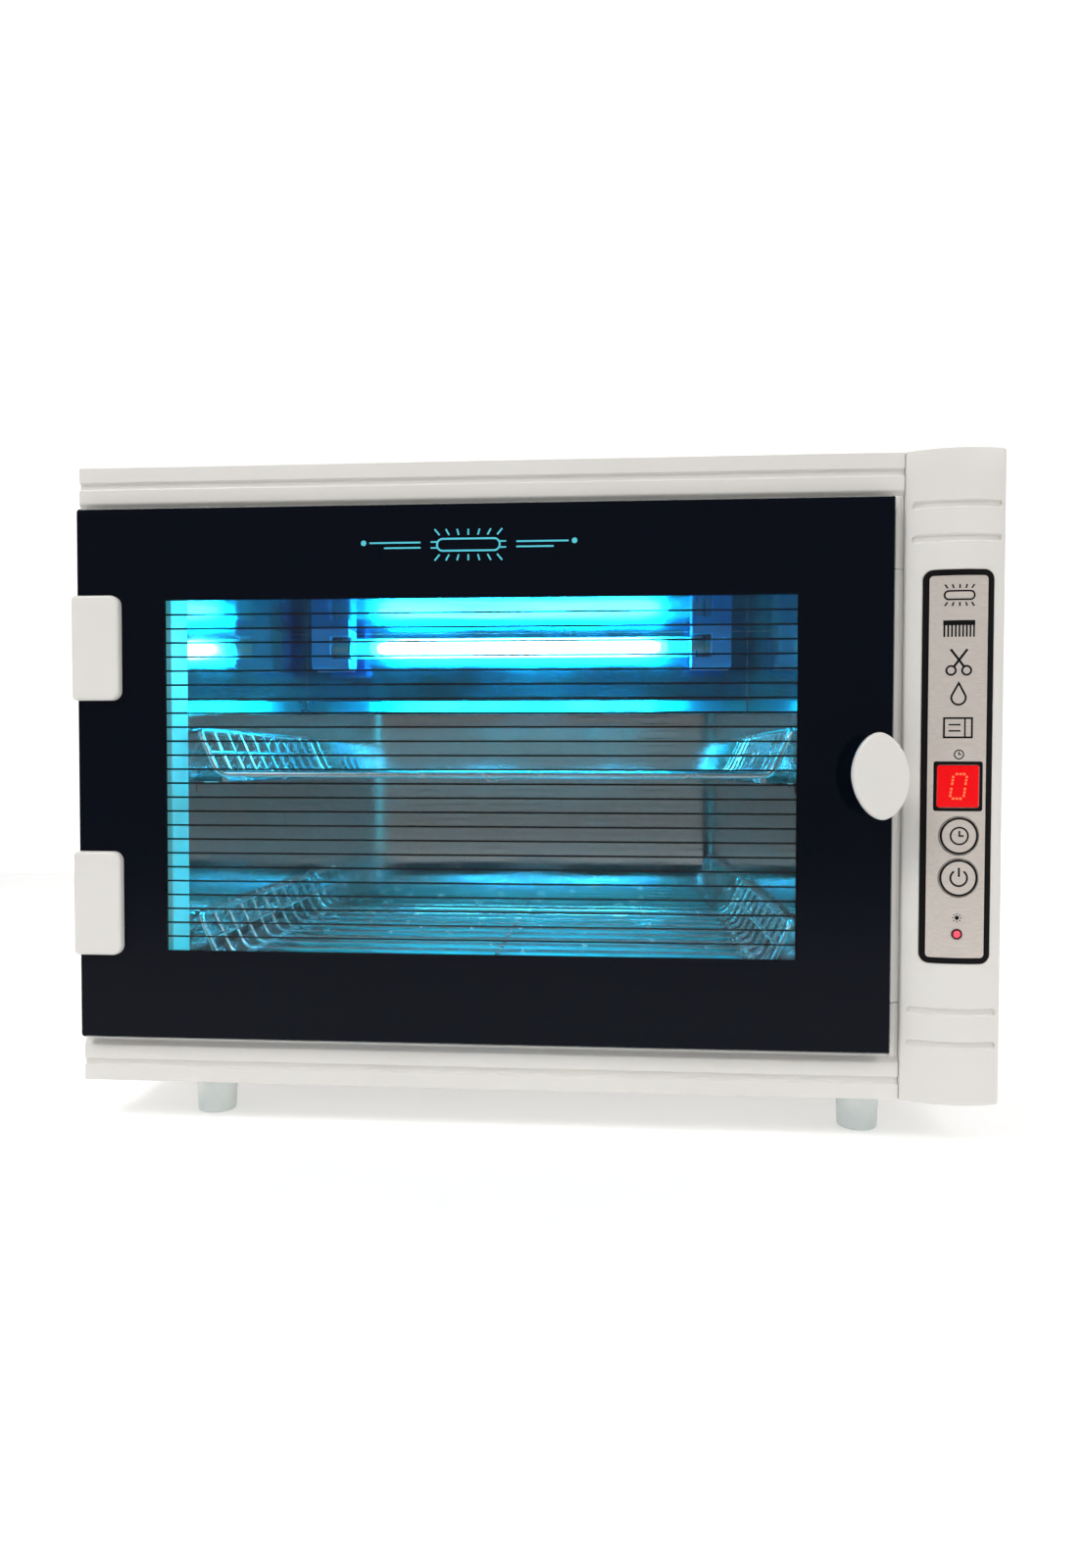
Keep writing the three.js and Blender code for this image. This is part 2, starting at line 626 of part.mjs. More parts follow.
// A hinge is a plastic cap and a steel clamp plate that grip the glass edge, a pin held in the cap, and a
// bracket on the frame whose knuckle turns on the pin inside a notch in the glass.
function buildHinge(level, z, door, glassFront, glassBack, glassLeft) {
  const moving = groupAt(door, 0, 0, z);
  const fixed = groupAt(cabinet, HINGE.x, HINGE.y, z);
  const capLeft = -4.1;
  const capRight = 23;
  const capHalf = 28.8;
  const edge = 1.5;
  const knuckle = { radius: 2.7, half: 8.5 };
  const pin = { radius: 1.25, half: 17 };
  const bore = pin.radius + 0.05;
  const gap = 0.6;

  const flatWidth = capRight - capLeft - 2 * edge;
  const flatHeight = 2 * (capHalf - edge);
  const faceShape = roundedRectangle((capLeft + capRight) / 2, 0, flatWidth, flatHeight, [1.5, 5, 5, 1.5]);
  const face = new THREE.ExtrudeGeometry(faceShape, {
    depth: 5 - CLEAR - edge,
    bevelThickness: edge,
    bevelSize: edge,
    bevelSegments: 2,
    curveSegments: 3,
  });
  face.applyMatrix4(ALONG.y).translate(0, glassFront - CLEAR, 0);
  const beyond = capHalf + 1;
  const rearBevel = box(capLeft - 1, capRight + 1, glassFront - CLEAR, glassFront + 5, -beyond, beyond);
  const wallHalf = capHalf - 2;
  const wall = box(capLeft + 0.2, glassLeft - CLEAR, glassFront - 2, glassBack, -wallHalf, wallHalf);
  const bosses = [-1, 1].map((side) => {
    const [low, high] = [knuckle.half + gap, 19.5].map((h) => side * h).sort((p, q) => p - q);
    return box(glassLeft - CLEAR - 0.2, 6.5, glassFront - CLEAR - 0.2, glassBack, low, high);
  });
  const reach = knuckle.half + gap;
  const knuckleRoom = rod("z", -reach, reach, [0, 0], knuckle.radius + gap, 20);
  const armRoom = box(capLeft - 1, 0, -3.8, 10, -reach, reach);
  const pinBore = rod("z", -pin.half - CLEAR, pin.half + CLEAR, [0, 0], bore, 16);
  const cap = cut(join(cut(solid(face), rearBevel), wall, ...bosses), knuckleRoom, armRoom, pinBore);
  place(moving, `hinge_cap_${level}`, cap, FINISH.whitePlastic);

  const plateFront = glassBack + 0.2;
  const plate = cut(
    box(-0.9, 21.5, plateFront, plateFront + 1.7, -26, 26),
    box(-2, 4.2, plateFront - 1, plateFront + 4, -reach, reach),
  );
  place(moving, `hinge_plate_${level}`, plate, FINISH.zinc);
  place(moving, `hinge_pin_${level}`, rod("z", -pin.half, pin.half, [0, 0], pin.radius, 16), FINISH.zinc);

  const leaf = { front: 4.3, back: 5.8, right: 18, half: 17 };
  const barrel = rod("z", -knuckle.half, knuckle.half, [0, 0], knuckle.radius, 20);
  const arm = box(-1.5, 1.5, 0.5, leaf.back, -knuckle.half, knuckle.half);
  const tongue = box(-1.5, leaf.right, leaf.front, leaf.back, -knuckle.half, knuckle.half);
  const wing = box(6, leaf.right, leaf.front, leaf.back, -leaf.half, leaf.half);
  const through = rod("z", -20, 20, [0, 0], bore, 16);
  const screwHoles = [-12, 12].map((h) => rod("y", 3, 7, [12, h], 1.6, 10));
  const bracket = cut(join(barrel, arm, tongue, wing), through, ...screwHoles);
  place(fixed, `hinge_bracket_${level}`, bracket, FINISH.zinc);
}

// An oval pull on a short neck, held by one screw through the glass.
function buildKnob(group, glassFront, glassBack) {
  const face = KNOB.face - HINGE.y;
  const edge = 1.6;
  const oval = new THREE.ExtrudeGeometry(ellipse(0, 0, KNOB.halfWidth - edge, KNOB.halfHeight - edge), {
    depth: KNOB.plate - 2 * edge,
    bevelThickness: edge,
    bevelSize: edge,
    bevelSegments: 2,
    curveSegments: 11,
  });
  oval.applyMatrix4(ALONG.y).translate(0, face + KNOB.plate - edge, 0);
  const neckLength = glassFront - CLEAR - (face + KNOB.plate);
  const neck = turned([
    [0, 0],
    [8, 0],
    [6.3, 2.5],
    [5.8, neckLength * 0.5],
    [6.6, neckLength - 3],
    [9, neckLength + 0.5],
    [0, neckLength + 0.5],
  ]).rotate([90, 0, 0]);
  const bore = rod("y", glassFront - 8, glassFront + 1, [0, 0], 2.3, 12);
  const knob = cut(join(solid(oval), neck.translate([0, glassFront - CLEAR, 0])), bore);
  place(group, "door_knob", knob, FINISH.whitePlastic);

  const head = rod("y", glassBack + CLEAR, glassBack + 1.7, [0, 0], 5.5, 20);
  const shank = rod("y", glassFront - 7, glassBack + CLEAR + 0.1, [0, 0], 2, 12);
  place(group, "knob_screw", join(head, shank), FINISH.zinc);
}

// ---------------------------------------------------------------- controls

function buildControls() {
  const { left, right } = COLUMN;
  const behindFace = (inset) => prism(bowedRegion(inset, left - 2, right + 2, 30), "z", 0, BODY.height);
  const sheet = cut(behindFace(0), behindFace(OVERLAY.thickness));
  const { x, z, width, height, corner } = OVERLAY;
  const outline = roundedRectangle(x, z, width, height, corner - CLEAR);
  const overlay = cut(sheet.intersect(prism(outline, "y", AHEAD, 5)), ...controlOpenings());
  place(cabinet, "control_overlay", overlay, FINISH.silverLabel);

  const middled = (halfWidth, halfHeight, front, back) =>
    box(
      DISPLAY.x - halfWidth,
      DISPLAY.x + halfWidth,
      front,
      back,
      DISPLAY.z - halfHeight,
      DISPLAY.z + halfHeight,
    );
  const lens = middled(DISPLAY.width / 2, DISPLAY.height / 2, AHEAD, COLUMN.apexY + 2.6);
  place(cabinet, "display_lens", lens.intersect(behindFace(0)), FINISH.redLens);
  const digit = middled(6.3, 9.5, COLUMN.apexY + 3.2, BOARD.y - CLEAR);
  place(cabinet, "display_module", digit, FINISH.darkPlastic);

  const led = join(
    rod("y", COLUMN.apexY + 0.4, BOARD.y - CLEAR, [LED.x, LED.z], LED.radius, 16),
    solid(new THREE.SphereGeometry(LED.radius, 16, 8).translate(LED.x, COLUMN.apexY + 1.4, LED.z)),
  );
  place(cabinet, "indicator_led", led, FINISH.redLens);

  // Each button hangs on a flange behind the column's skin. Its stem presses a small switch on the board.
  const travel = 0.8;
  const { radius, sides } = BUTTON;
  const flangeFront = COLUMN.apexY + COLUMN.wall + 2;
  const stemEnd = BOARD.y - 5;
  const switches = Object.entries(BUTTON.heights).map(([name, level]) => {
    const at = [BUTTON.x, level];
    const cap = rod("y", AHEAD, flangeFront + 0.5, at, radius, sides).intersect(behindFace(-0.3));
    const flange = rod("y", flangeFront, flangeFront + 1, at, radius + 0.7, sides);
    const stem = rod("y", flangeFront + 0.5, stemEnd, at, 2, 10);
    place(cabinet, `${name}_button`, join(cap, flange, stem), FINISH.silverLabel);
    const plunger = rod("y", stemEnd + travel + 0.1, BOARD.y - 2, at, 1.7, 10);
    const housing = box(BUTTON.x - 3, BUTTON.x + 3, BOARD.y - 3.2, BOARD.y + 0.2, level - 3, level + 3);
    return join(housing, plunger);
  });
  const board = box(BOARD.left, BOARD.right, BOARD.y, BOARD.y + BOARD.thickness, BOARD.bottom, BOARD.top);
  place(cabinet, "control_board", join(board, ...switches), FINISH.board);
}

// The electronic ballast stands on the base of the electrical bay; a socket in the rear cover takes the
// mains lead, and loose wires join them to the lamp holders and to the control board.
function buildElectrics() {
  const bay = { x0: 172, x1: 212, y0: 70, y1: 200 };
  const can = box(bay.x0, bay.x1, bay.y0 + 12, bay.y1 - 12, SHEET + CLEAR, 32);
  const feet = box(bay.x0, bay.x1, bay.y0, bay.y1, SHEET + CLEAR, SHEET + CLEAR + 1);
  const slots = [bay.y0 + 6, bay.y1 - 6].map((y) => rod("z", 0, 4, [(bay.x0 + bay.x1) / 2, y], 2.2, 12));
  place(cabinet, "ballast", cut(join(can, feet), ...slots), FINISH.zinc);

  const rim = BODY.back + CLEAR;
  const flange = prism(roundedRectangle(0, 0, INLET.width, INLET.height, 5), "y", rim, rim + 3, 3);
  const barrel = box(-13.6, 13.6, BODY.back - 20, rim + 0.5, -10, 10);
  const cavity = prism(
    polygon([
      [-12, -8],
      [12, -8],
      [12, 4],
      [8, 8],
      [-8, 8],
      [-12, 4],
    ]),
    "y",
    BODY.back - 14,
    rim + 4,
  );
  place(cabinet, "mains_inlet", cut(join(flange, barrel), cavity), FINISH.darkPlastic, [INLET.x, 0, INLET.z]);

  const ceiling = CHAMBER.ceiling + LINER;
  const bend = 12;
  const lampLead = (way, height, dropX, endY) => [
    [leadX(way), LAMP.y, CHAMBER.ceiling + 0.1],
    [leadX(way), LAMP.y, ceiling + 4],
    [leadX(way) + bend, LAMP.y - 2, height],
    [dropX - bend, LAMP.y - 8, height],
    [dropX, LAMP.y - 12, height - bend],
    [dropX, endY + 26, 90],
    [dropX, endY + 2, 50],
    [dropX, endY, 40],
    [dropX, endY, 32 + 2 * CLEAR],
  ];
  place(cabinet, "lamp_lead_left", cable(lampLead(-1, 312, 180, 170), 1.6, 26), FINISH.leadSleeve);
  place(cabinet, "lamp_lead_right", cable(lampLead(1, 300, 190, 160), 1.6, 20), FINISH.leadSleeve);
  const mainsLead = [
    [INLET.x - 4, BODY.back - 20 - CLEAR, INLET.z],
    [INLET.x - 4, BODY.back - 28, INLET.z + 1],
    [INLET.x - 2, 230, INLET.z + 12],
    [INLET.x, 186, INLET.z + 4],
    [INLET.x, 184, 32 + 2 * CLEAR],
  ];
  place(cabinet, "mains_lead", cable(mainsLead, 2.4, 12), FINISH.leadSleeve);
}

buildRails();
buildStiles();
buildColumn();
buildCovers();
buildBase();
buildRear();
buildFeet();
buildLiner();
buildLedges();
buildBaskets();
buildLamp();
buildDoor();
buildControls();
buildElectrics();

// Stand the cabinet on its feet with the origin under the middle of its overall box.
const bounds = new THREE.Box3().setFromObject(cabinet);
const middle = bounds.getCenter(new THREE.Vector3());
cabinet.position.set(-middle.x, -middle.y, -bounds.min.z);
cabinet.name = "uv_sterilizer_cabinet";

export default cabinet;
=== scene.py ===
"""The finished look of a salon ultraviolet sterilizer cabinet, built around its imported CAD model.

Shapes are drawn in the cabinet's own millimetres: X from the middle of the body to the right, Y from the face
of the front frame to the rear, and Z up from the underside of the body.
"""
import json
import math

import bmesh
import bpy
from mathutils import Matrix, Vector


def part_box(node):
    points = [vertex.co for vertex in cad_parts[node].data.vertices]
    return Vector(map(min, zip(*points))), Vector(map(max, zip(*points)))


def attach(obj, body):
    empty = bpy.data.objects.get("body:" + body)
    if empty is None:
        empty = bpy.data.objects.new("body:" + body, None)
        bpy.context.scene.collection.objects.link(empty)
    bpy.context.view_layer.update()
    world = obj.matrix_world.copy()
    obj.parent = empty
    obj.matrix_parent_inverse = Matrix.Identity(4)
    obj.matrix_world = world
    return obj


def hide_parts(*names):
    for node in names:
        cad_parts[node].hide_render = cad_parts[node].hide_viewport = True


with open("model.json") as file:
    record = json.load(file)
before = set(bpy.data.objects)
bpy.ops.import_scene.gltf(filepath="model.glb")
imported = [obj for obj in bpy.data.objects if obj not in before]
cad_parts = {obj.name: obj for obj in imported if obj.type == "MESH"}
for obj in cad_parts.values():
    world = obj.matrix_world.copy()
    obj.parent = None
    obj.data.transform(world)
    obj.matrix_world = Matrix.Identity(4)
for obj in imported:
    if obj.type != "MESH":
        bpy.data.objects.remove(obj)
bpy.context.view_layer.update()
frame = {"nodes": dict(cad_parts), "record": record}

MM = 0.001
BODY_HALF_WIDTH = 251
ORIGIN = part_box("bottom_rail")[0] + Vector((BODY_HALF_WIDTH * MM, 0, 0))


def span(node):
    """Lowest and highest corner of a CAD node, in cabinet millimetres."""
    low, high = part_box(node)
    return (low - ORIGIN) / MM, (high - ORIGIN) / MM


def middle(node):
    low, high = span(node)
    return (low + high) / 2


# ---------------------------------------------------------------- materials


def srgb(red, green, blue):
    """A colour given in the usual 0 to 255 steps, as the linear values that shaders take."""
    return tuple(((c / 255 + 0.055) / 1.055) ** 2.4 for c in (red, green, blue))


def new_material(name, color, roughness, **sockets):
    """A Principled material. Each further value goes straight onto the shader's socket of that name."""
    material = bpy.data.materials.new(name)
    material.use_nodes = True
    shader = shader_of(material)
    shader.inputs["Base Color"].default_value = (*color, 1)
    shader.inputs["Roughness"].default_value = roughness
    for socket, value in sockets.items():
        shader.inputs[socket.replace("_", " ")].default_value = value
    return material


def shader_of(material):
    return material.node_tree.nodes["Principled BSDF"]


def noise(material, scale, detail=3.0, stretch=(1, 1, 1), seed=0.0):
    """A noise pattern fixed to the object, whose scale counts waves per metre."""
    nodes, links = material.node_tree.nodes, material.node_tree.links
    mapping = nodes.new("ShaderNodeMapping")
    mapping.inputs["Scale"].default_value = stretch
    mapping.inputs["Location"].default_value = (seed, seed, seed)
    texture = nodes.new("ShaderNodeTexNoise")
    texture.inputs["Scale"].default_value = scale
    texture.inputs["Detail"].default_value = detail
    links.new(nodes.new("ShaderNodeTexCoord").outputs["Object"], mapping.inputs["Vector"])
    links.new(mapping.outputs["Vector"], texture.inputs["Vector"])
    return texture.outputs["Fac"]


def remapped(material, value, source, target):
    """A value carried over from one range to another, and held at its ends."""
    node = material.node_tree.nodes.new("ShaderNodeMapRange")
    for socket, setting in zip(("From Min", "From Max", "To Min", "To Max"), (*source, *target)):
        node.inputs[socket].default_value = setting
    material.node_tree.links.new(value, node.inputs["Value"])
    return node.outputs["Result"]


def uneven_roughness(material, low, high, scale, **pattern):
    level = remapped(material, noise(material, scale, **pattern), (0.3, 0.7), (low, high))
    material.node_tree.links.new(level, shader_of(material).inputs["Roughness"])


def mottled(material, first, second, scale, **pattern):
    """The base colour drifts between two tones."""
    ramp = material.node_tree.nodes.new("ShaderNodeValToRGB")
    for element, position, tone in zip(ramp.color_ramp.elements, (0.35, 0.65), (first, second)):
        element.position = position
        element.color = (*tone, 1)
    material.node_tree.links.new(noise(material, scale, **pattern), ramp.inputs["Fac"])
    material.node_tree.links.new(ramp.outputs["Color"], shader_of(material).inputs["Base Color"])


def bumped(material, *layers):
    """Surface relief from (scale, height in metres, pattern) layers, one on top of the other."""
    nodes, links = material.node_tree.nodes, material.node_tree.links
    normal = None
    for scale, height, pattern in layers:
        bump = nodes.new("ShaderNodeBump")
        bump.inputs["Distance"].default_value = height
        links.new(noise(material, scale, **pattern), bump.inputs["Height"])
        if normal:
            links.new(normal, bump.inputs["Normal"])
        normal = bump.outputs["Normal"]
    links.new(normal, shader_of(material).inputs["Normal"])


def glow_along(material, coordinate, axis, reach, strength):
    """Emission that grows from nothing to its strength along one axis of a texture coordinate."""
    nodes, links = material.node_tree.nodes, material.node_tree.links
    split = nodes.new("ShaderNodeSeparateXYZ")
    links.new(nodes.new("ShaderNodeTexCoord").outputs[coordinate], split.inputs["Vector"])
    level = remapped(material, split.outputs[axis], reach, (0.0, strength))
    links.new(level, shader_of(material).inputs["Emission Strength"])


WHITE = srgb(231, 228, 223)
CYAN = (0.0, 0.72, 1.0)
RED_LIGHT = (1.0, 0.001, 0.004)
PINK_LIGHT = (1.0, 0.09, 0.14)
ORANGE_LIGHT = (1.0, 0.16, 0.05)
WHITE_LIGHT = (1.0, 1.0, 1.0)


def moulded_plastic(name, color, roughness=0.38):
    """Moulded plastic: soft gloss, faint flow marks and a very fine skin."""
    material = new_material(name, color, roughness, IOR=1.49)
    uneven_roughness(material, roughness - 0.06, roughness + 0.08, 35)
    mottled(material, tuple(c * 0.965 for c in color), color, 9, seed=3.0)
    bumped(material, (2600, 0.000012, {"detail": 2.0}), (60, 0.00004, {"detail": 1.0}))
    return material


def powder_coat(name, color):
    """Baked powder coat on sheet steel: an even orange-peel skin."""
    material = new_material(name, color, 0.5, IOR=1.5)
    uneven_roughness(material, 0.42, 0.58, 60)
    mottled(material, tuple(c * 0.95 for c in color), color, 5, seed=8.0)
    bumped(material, (900, 0.00006, {"detail": 2.0}), (14, 0.0004, {"detail": 1.0}))
    return material


def polished_sheet(name, smoothest, roughest, metallic, color=srgb(218, 222, 223)):
    """Polished liner sheet with rolling marks and a faint unevenness from its folds."""
    material = new_material(name, color, smoothest, Metallic=metallic, Specular_Tint=(*color, 1))
    uneven_roughness(material, smoothest, roughest, 24, detail=5.0)
    bumped(
        material,
        (5, 0.0022, {"detail": 1.0, "stretch": (1, 1, 0.6)}),
        (420, 0.000006, {"stretch": (0.05, 0.05, 1)}),
    )
    return material


def plated_wire():
    material = new_material("chromed_wire", srgb(222, 238, 240), 0.18, Metallic=1.0)
    uneven_roughness(material, 0.12, 0.3, 90, detail=4.0)
    bumped(material, (700, 0.00003, {}))
    return material


def zinc_plate():
    material = new_material("zinc_plated_steel", srgb(168, 172, 174), 0.34, Metallic=1.0)
    uneven_roughness(material, 0.24, 0.46, 120, detail=5.0)
    mottled(material, srgb(150, 154, 160), srgb(186, 188, 184), 70, seed=5.0)
    bumped(material, (1500, 0.00002, {"stretch": (1, 1, 0.15)}))
    return material


def stile_painted_lamp_light():
    """White plastic with painted lamp light: its edge beside the chamber glows cyan, in place of the lamp's
    light falling on it.
    """
    material = moulded_plastic("stile_painted_lamp_light", WHITE)
    # Painted light: emission makes the edge beside the chamber glow, though the stile is no lamp.
    shader_of(material).inputs["Emission Color"].default_value = (0.0, 0.8, 1.0, 1)
    glow_along(material, "Generated", "X", (0.8, 0.93), 0.4)
    return material


def door_pane():
    """Float glass with the grey-green tint that a thick pane has."""
    material = new_material("door_pane", (0.64, 0.67, 0.68), 0.0, IOR=1.3, Transmission_Weight=1.0)
    uneven_roughness(material, 0.0, 0.012, 30, detail=4.0)
    return material


def enamel_print(name, color, roughness=0.32, **sockets):
    """Screen-printed enamel, with the slight mottle of the mesh."""
    material = new_material(name, color, roughness, **sockets)
    uneven_roughness(material, roughness - 0.08, roughness + 0.1, 400)
    bumped(material, (1800, 0.00001, {"detail": 2.0}))
    return material


def black_glass():
    """The glossy black that a printed border shows through the pane."""
    material = new_material("black_glass", srgb(3, 9, 20), 0.01, IOR=1.2)
    uneven_roughness(material, 0.005, 0.03, 30, detail=4.0)
    bumped(material, (12, 0.00002, {"detail": 1.0}))
    return material


def glowing(name, color, glow, strength, roughness=0.25, **sockets):
    material = new_material(name, color, roughness, Emission_Strength=strength, **sockets)
    shader_of(material).inputs["Emission Color"].default_value = (*glow, 1)
    uneven_roughness(material, roughness, roughness + 0.08, 80)
    return material


def foot_plastic():
    material = new_material("foot_plastic", srgb(222, 228, 226), 0.5, Subsurface_Weight=0.25)
    shader_of(material).inputs["Subsurface Radius"].default_value = (0.003, 0.004, 0.004)
    uneven_roughness(material, 0.4, 0.6, 90)
    mottled(material, srgb(214, 222, 221), srgb(228, 234, 232), 50)
    bumped(material, (900, 0.00005, {}))
    return material


def silver_film(name):
    """Printed silver film with a fine brushed grain."""
    material = new_material(name, srgb(212, 203, 195), 0.4, Metallic=0.35)
    uneven_roughness(material, 0.34, 0.46, 900, stretch=(0.05, 1, 1))
    mottled(material, srgb(207, 198, 190), srgb(216, 207, 199), 1500, stretch=(0.04, 1, 1))
    bumped(material, (2600, 0.000003, {"stretch": (0.04, 1, 1)}))
    return material


def circuit_board():
    material = new_material("circuit_board", srgb(28, 86, 52), 0.35)
    mottled(material, srgb(22, 74, 44), srgb(40, 104, 62), 300, detail=6.0)
    bumped(material, (800, 0.00003, {"detail": 4.0}))
    return material


def lead_sleeve():
    material = new_material("lead_sleeve", srgb(228, 227, 220), 0.55)
    uneven_roughness(material, 0.45, 0.65, 200)
    bumped(material, (1200, 0.00004, {"detail": 2.0}))
    return material


def cap_aluminium():
    material = new_material("cap_aluminium", srgb(170, 176, 178), 0.3, Metallic=1.0)
    uneven_roughness(material, 0.22, 0.42, 300, stretch=(1, 0.1, 0.1))
    bumped(material, (900, 0.00002, {"stretch": (1, 0.1, 0.1)}))
    return material


SHADE = {
    "white_casing": powder_coat("powder_coat", WHITE),
    "white_plastic": moulded_plastic("moulded_white", WHITE),
    "mirror_liner": polished_sheet("mirror_sheet", 0.03, 0.12, 0.955),
    "chromed_wire": plated_wire(),
    "zinc_steel": zinc_plate(),
    "door_glass": door_pane(),
    "lamp_glass": glowing("lamp_quartz", (0.8, 0.95, 1.0), CYAN, 0.9, 0.04, Alpha=0.2),
    "lamp_cap": cap_aluminium(),
    "foot_plastic": foot_plastic(),
    "silver_label": silver_film("silver_film"),
    "button_silver": silver_film("key_film"),
    "red_lens": glowing("red_acrylic", srgb(60, 2, 5), RED_LIGHT, 0.85, Specular_IOR_Level=0.2),
    "red_led": glowing("red_led_epoxy", srgb(230, 60, 80), PINK_LIGHT, 0.7, 0.2),
    "dark_plastic": moulded_plastic("black_plastic", srgb(28, 28, 30), 0.45),
    "circuit_board": circuit_board(),
    "lead_sleeve": lead_sleeve(),
}
# The chamber floor's rougher finish is wear; its cyan colour is painted lamp light.
WORN_FLOOR_PAINTED_LAMP_LIGHT = polished_sheet("worn_floor_sheet_painted_light", 0.3, 0.5, 1.0, (0.05, 0.66, 0.7))
# The ceiling sheet's cyan colour is painted lamp light.
CEILING_SHEET_PAINTED_LAMP_LIGHT = polished_sheet("ceiling_sheet_painted_light", 0.06, 0.2, 1.0, (0.2, 0.64, 0.76))
# The reflector's blue is painted lamp light, and its lip's cyan is a painted reflection.
REFLECTOR_PAINTED_BLUE_LIGHT = polished_sheet("reflector_sheet_painted_light", 0.1, 0.22, 1.0, (0.02, 0.3, 0.5))
REFLECTOR_LIP_PAINTED_CYAN_LIGHT = polished_sheet("reflector_lip_sheet_painted_light", 0.2, 0.4, 1.0, (0.03, 0.7, 0.78))
# The left stile's glowing edge is painted lamp light.
STILE_PAINTED_LAMP_LIGHT = stile_painted_lamp_light()
# The lamp holders' dark blue is painted shade, tinted with painted lamp light.
HOLDER_PLASTIC_PAINTED_SHADE = moulded_plastic("holder_plastic_painted_shade", srgb(112, 130, 178), 0.35)
DARK_RED = moulded_plastic("dark_red_plastic", srgb(70, 4, 14), 0.3)
BLACK_PRINT = enamel_print("black_enamel", srgb(11, 11, 14), 0.45, Specular_IOR_Level=0.1)
BLACK_GLASS = black_glass()
INK = enamel_print("black_ink", srgb(14, 12, 14), 0.45, Specular_IOR_Level=0.12)
CYAN_INK = enamel_print("cyan_ink", srgb(96, 208, 226), 0.4, Specular_IOR_Level=0.0)
DIGIT = glowing("lit_segment", srgb(240, 90, 60), ORANGE_LIGHT, 0.8)
DISCHARGE = glowing("lamp_discharge", (0.5, 0.9, 1.0), CYAN, 300.0, Alpha=0.5)
ARC = glowing("lamp_arc", WHITE_LIGHT, WHITE_LIGHT, 8.0)


def dress_cad_nodes():
    """Every CAD node gets its slot's finish, and the plastic and sheet parts get softened edges."""
    edge_radius = {
        "top_rail": 0.6,
        "bottom_rail": 0.6,
        "left_stile": 0.4,
        "right_stile": 0.3,
        "door_glass": 0.5,
        "side_cover_left": 0.4,
        "side_cover_right": 0.4,
        "top_cover": 0.4,
        "lamp_holder_left": 0.8,
        "lamp_holder_right": 0.8,
        "ballast": 0.5,
        "mains_inlet": 0.4,
    }
    slot_of = {row["node"]: row["material_slot"] for row in frame["record"]["subparts"]}
    for name, node in frame["nodes"].items():
        for slot in node.material_slots:
            slot.material = SHADE[slot_of[name]]
        node.modifiers.new("weld", "WELD").merge_threshold = 0.00001
        if name in edge_radius:
            flat = node.modifiers.new("flatten", "DECIMATE")
            flat.decimate_type = "DISSOLVE"
            flat.angle_limit = math.radians(0.5)
            bevel = node.modifiers.new("bevel", "BEVEL")
            bevel.width = edge_radius[name] * MM
            bevel.segments = 3
            bevel.limit_method = "ANGLE"
            bevel.angle_limit = math.radians(30)
        node.modifiers.new("normals", "WEIGHTED_NORMAL").keep_sharp = True
    special = {
        # painted shade on the lamp holders
        "lamp_holder_left": HOLDER_PLASTIC_PAINTED_SHADE,
        "lamp_holder_right": HOLDER_PLASTIC_PAINTED_SHADE,
        # painted cyan lamp light on the floor
        "liner_floor": WORN_FLOOR_PAINTED_LAMP_LIGHT,
        # painted cyan lamp light on the ceiling
        "liner_ceiling": CEILING_SHEET_PAINTED_LAMP_LIGHT,
        # painted lamp light on the stile's edge
        "left_stile": STILE_PAINTED_LAMP_LIGHT,
    }
    for name, material in special.items():
        frame["nodes"][name].material_slots[0].material = material


# ---------------------------------------------------------------- mesh tools


class Shape:
    """Points in cabinet millimetres and the faces between them, added part by part."""

    def __init__(self, *parts):
        self.points = []
        self.faces = []
        for part in parts:
            self.add(part)

    def add(self, part):
        points, faces = part
        start = len(self.points)
        self.points += [tuple(p) for p in points]
        self.faces += [tuple(start + i for i in face) for face in faces]
        return self


def object_of(name, shape):
    """An object made of a shape, with its faces turned outward."""
    mesh = bpy.data.meshes.new(name)
    mesh.from_pydata([ORIGIN + Vector(p) * MM for p in shape.points], [], shape.faces)
    made = bmesh.new()
    made.from_mesh(mesh)
    bmesh.ops.recalc_face_normals(made, faces=made.faces)
    made.to_mesh(mesh)
    made.free()
    thing = bpy.data.objects.new(name, mesh)
    bpy.context.scene.collection.objects.link(thing)
    return thing


def smooth(thing, angle=35):
    thing.data.polygons.foreach_set("use_smooth", [True] * len(thing.data.polygons))
    thing.data.set_sharp_from_angle(angle=math.radians(angle))


def piece(name, shape, body, slot, *stands_for, material=None, cutters=()):
    """A new visible piece that rides on a body and may replace CAD nodes.

    It wears its slot's finish, or else the material given.
    """
    made = object_of(name, shape)
    for cutter_shape in cutters:
        cutter = object_of("cutter", cutter_shape)
        carve = made.modifiers.new("carve", "BOOLEAN")
        carve.solver = "EXACT"
        carve.object = cutter
        bpy.context.view_layer.update()
        carved = bpy.data.meshes.new_from_object(made.evaluated_get(bpy.context.evaluated_depsgraph_get()))
        made.modifiers.remove(carve)
        made.data = carved
        bpy.data.objects.remove(cutter)
    smooth(made)
    made.data.materials.clear()
    made.data.materials.append(material or SHADE[slot])
    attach(made, body)
    if stands_for:
        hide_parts(*stands_for)
    return made


def loft(rings):
    """A closed skin over rings that hold equally many points, each ring closed on itself."""
    count = len(rings[0])
    last = (len(rings) - 1) * count
    faces = [tuple(range(count)), tuple(range(last, last + count))]
    for low in range(0, last, count):
        for i in range(count):
            j = (i + 1) % count
            faces.append((low + i, low + j, low + count + j, low + count + i))
    return [p for ring in rings for p in ring], faces


def box(x0, x1, y0, y1, z0, z1):
    return loft([[(x0, y, z0), (x1, y, z0), (x1, y, z1), (x0, y, z1)] for y in (y0, y1)])


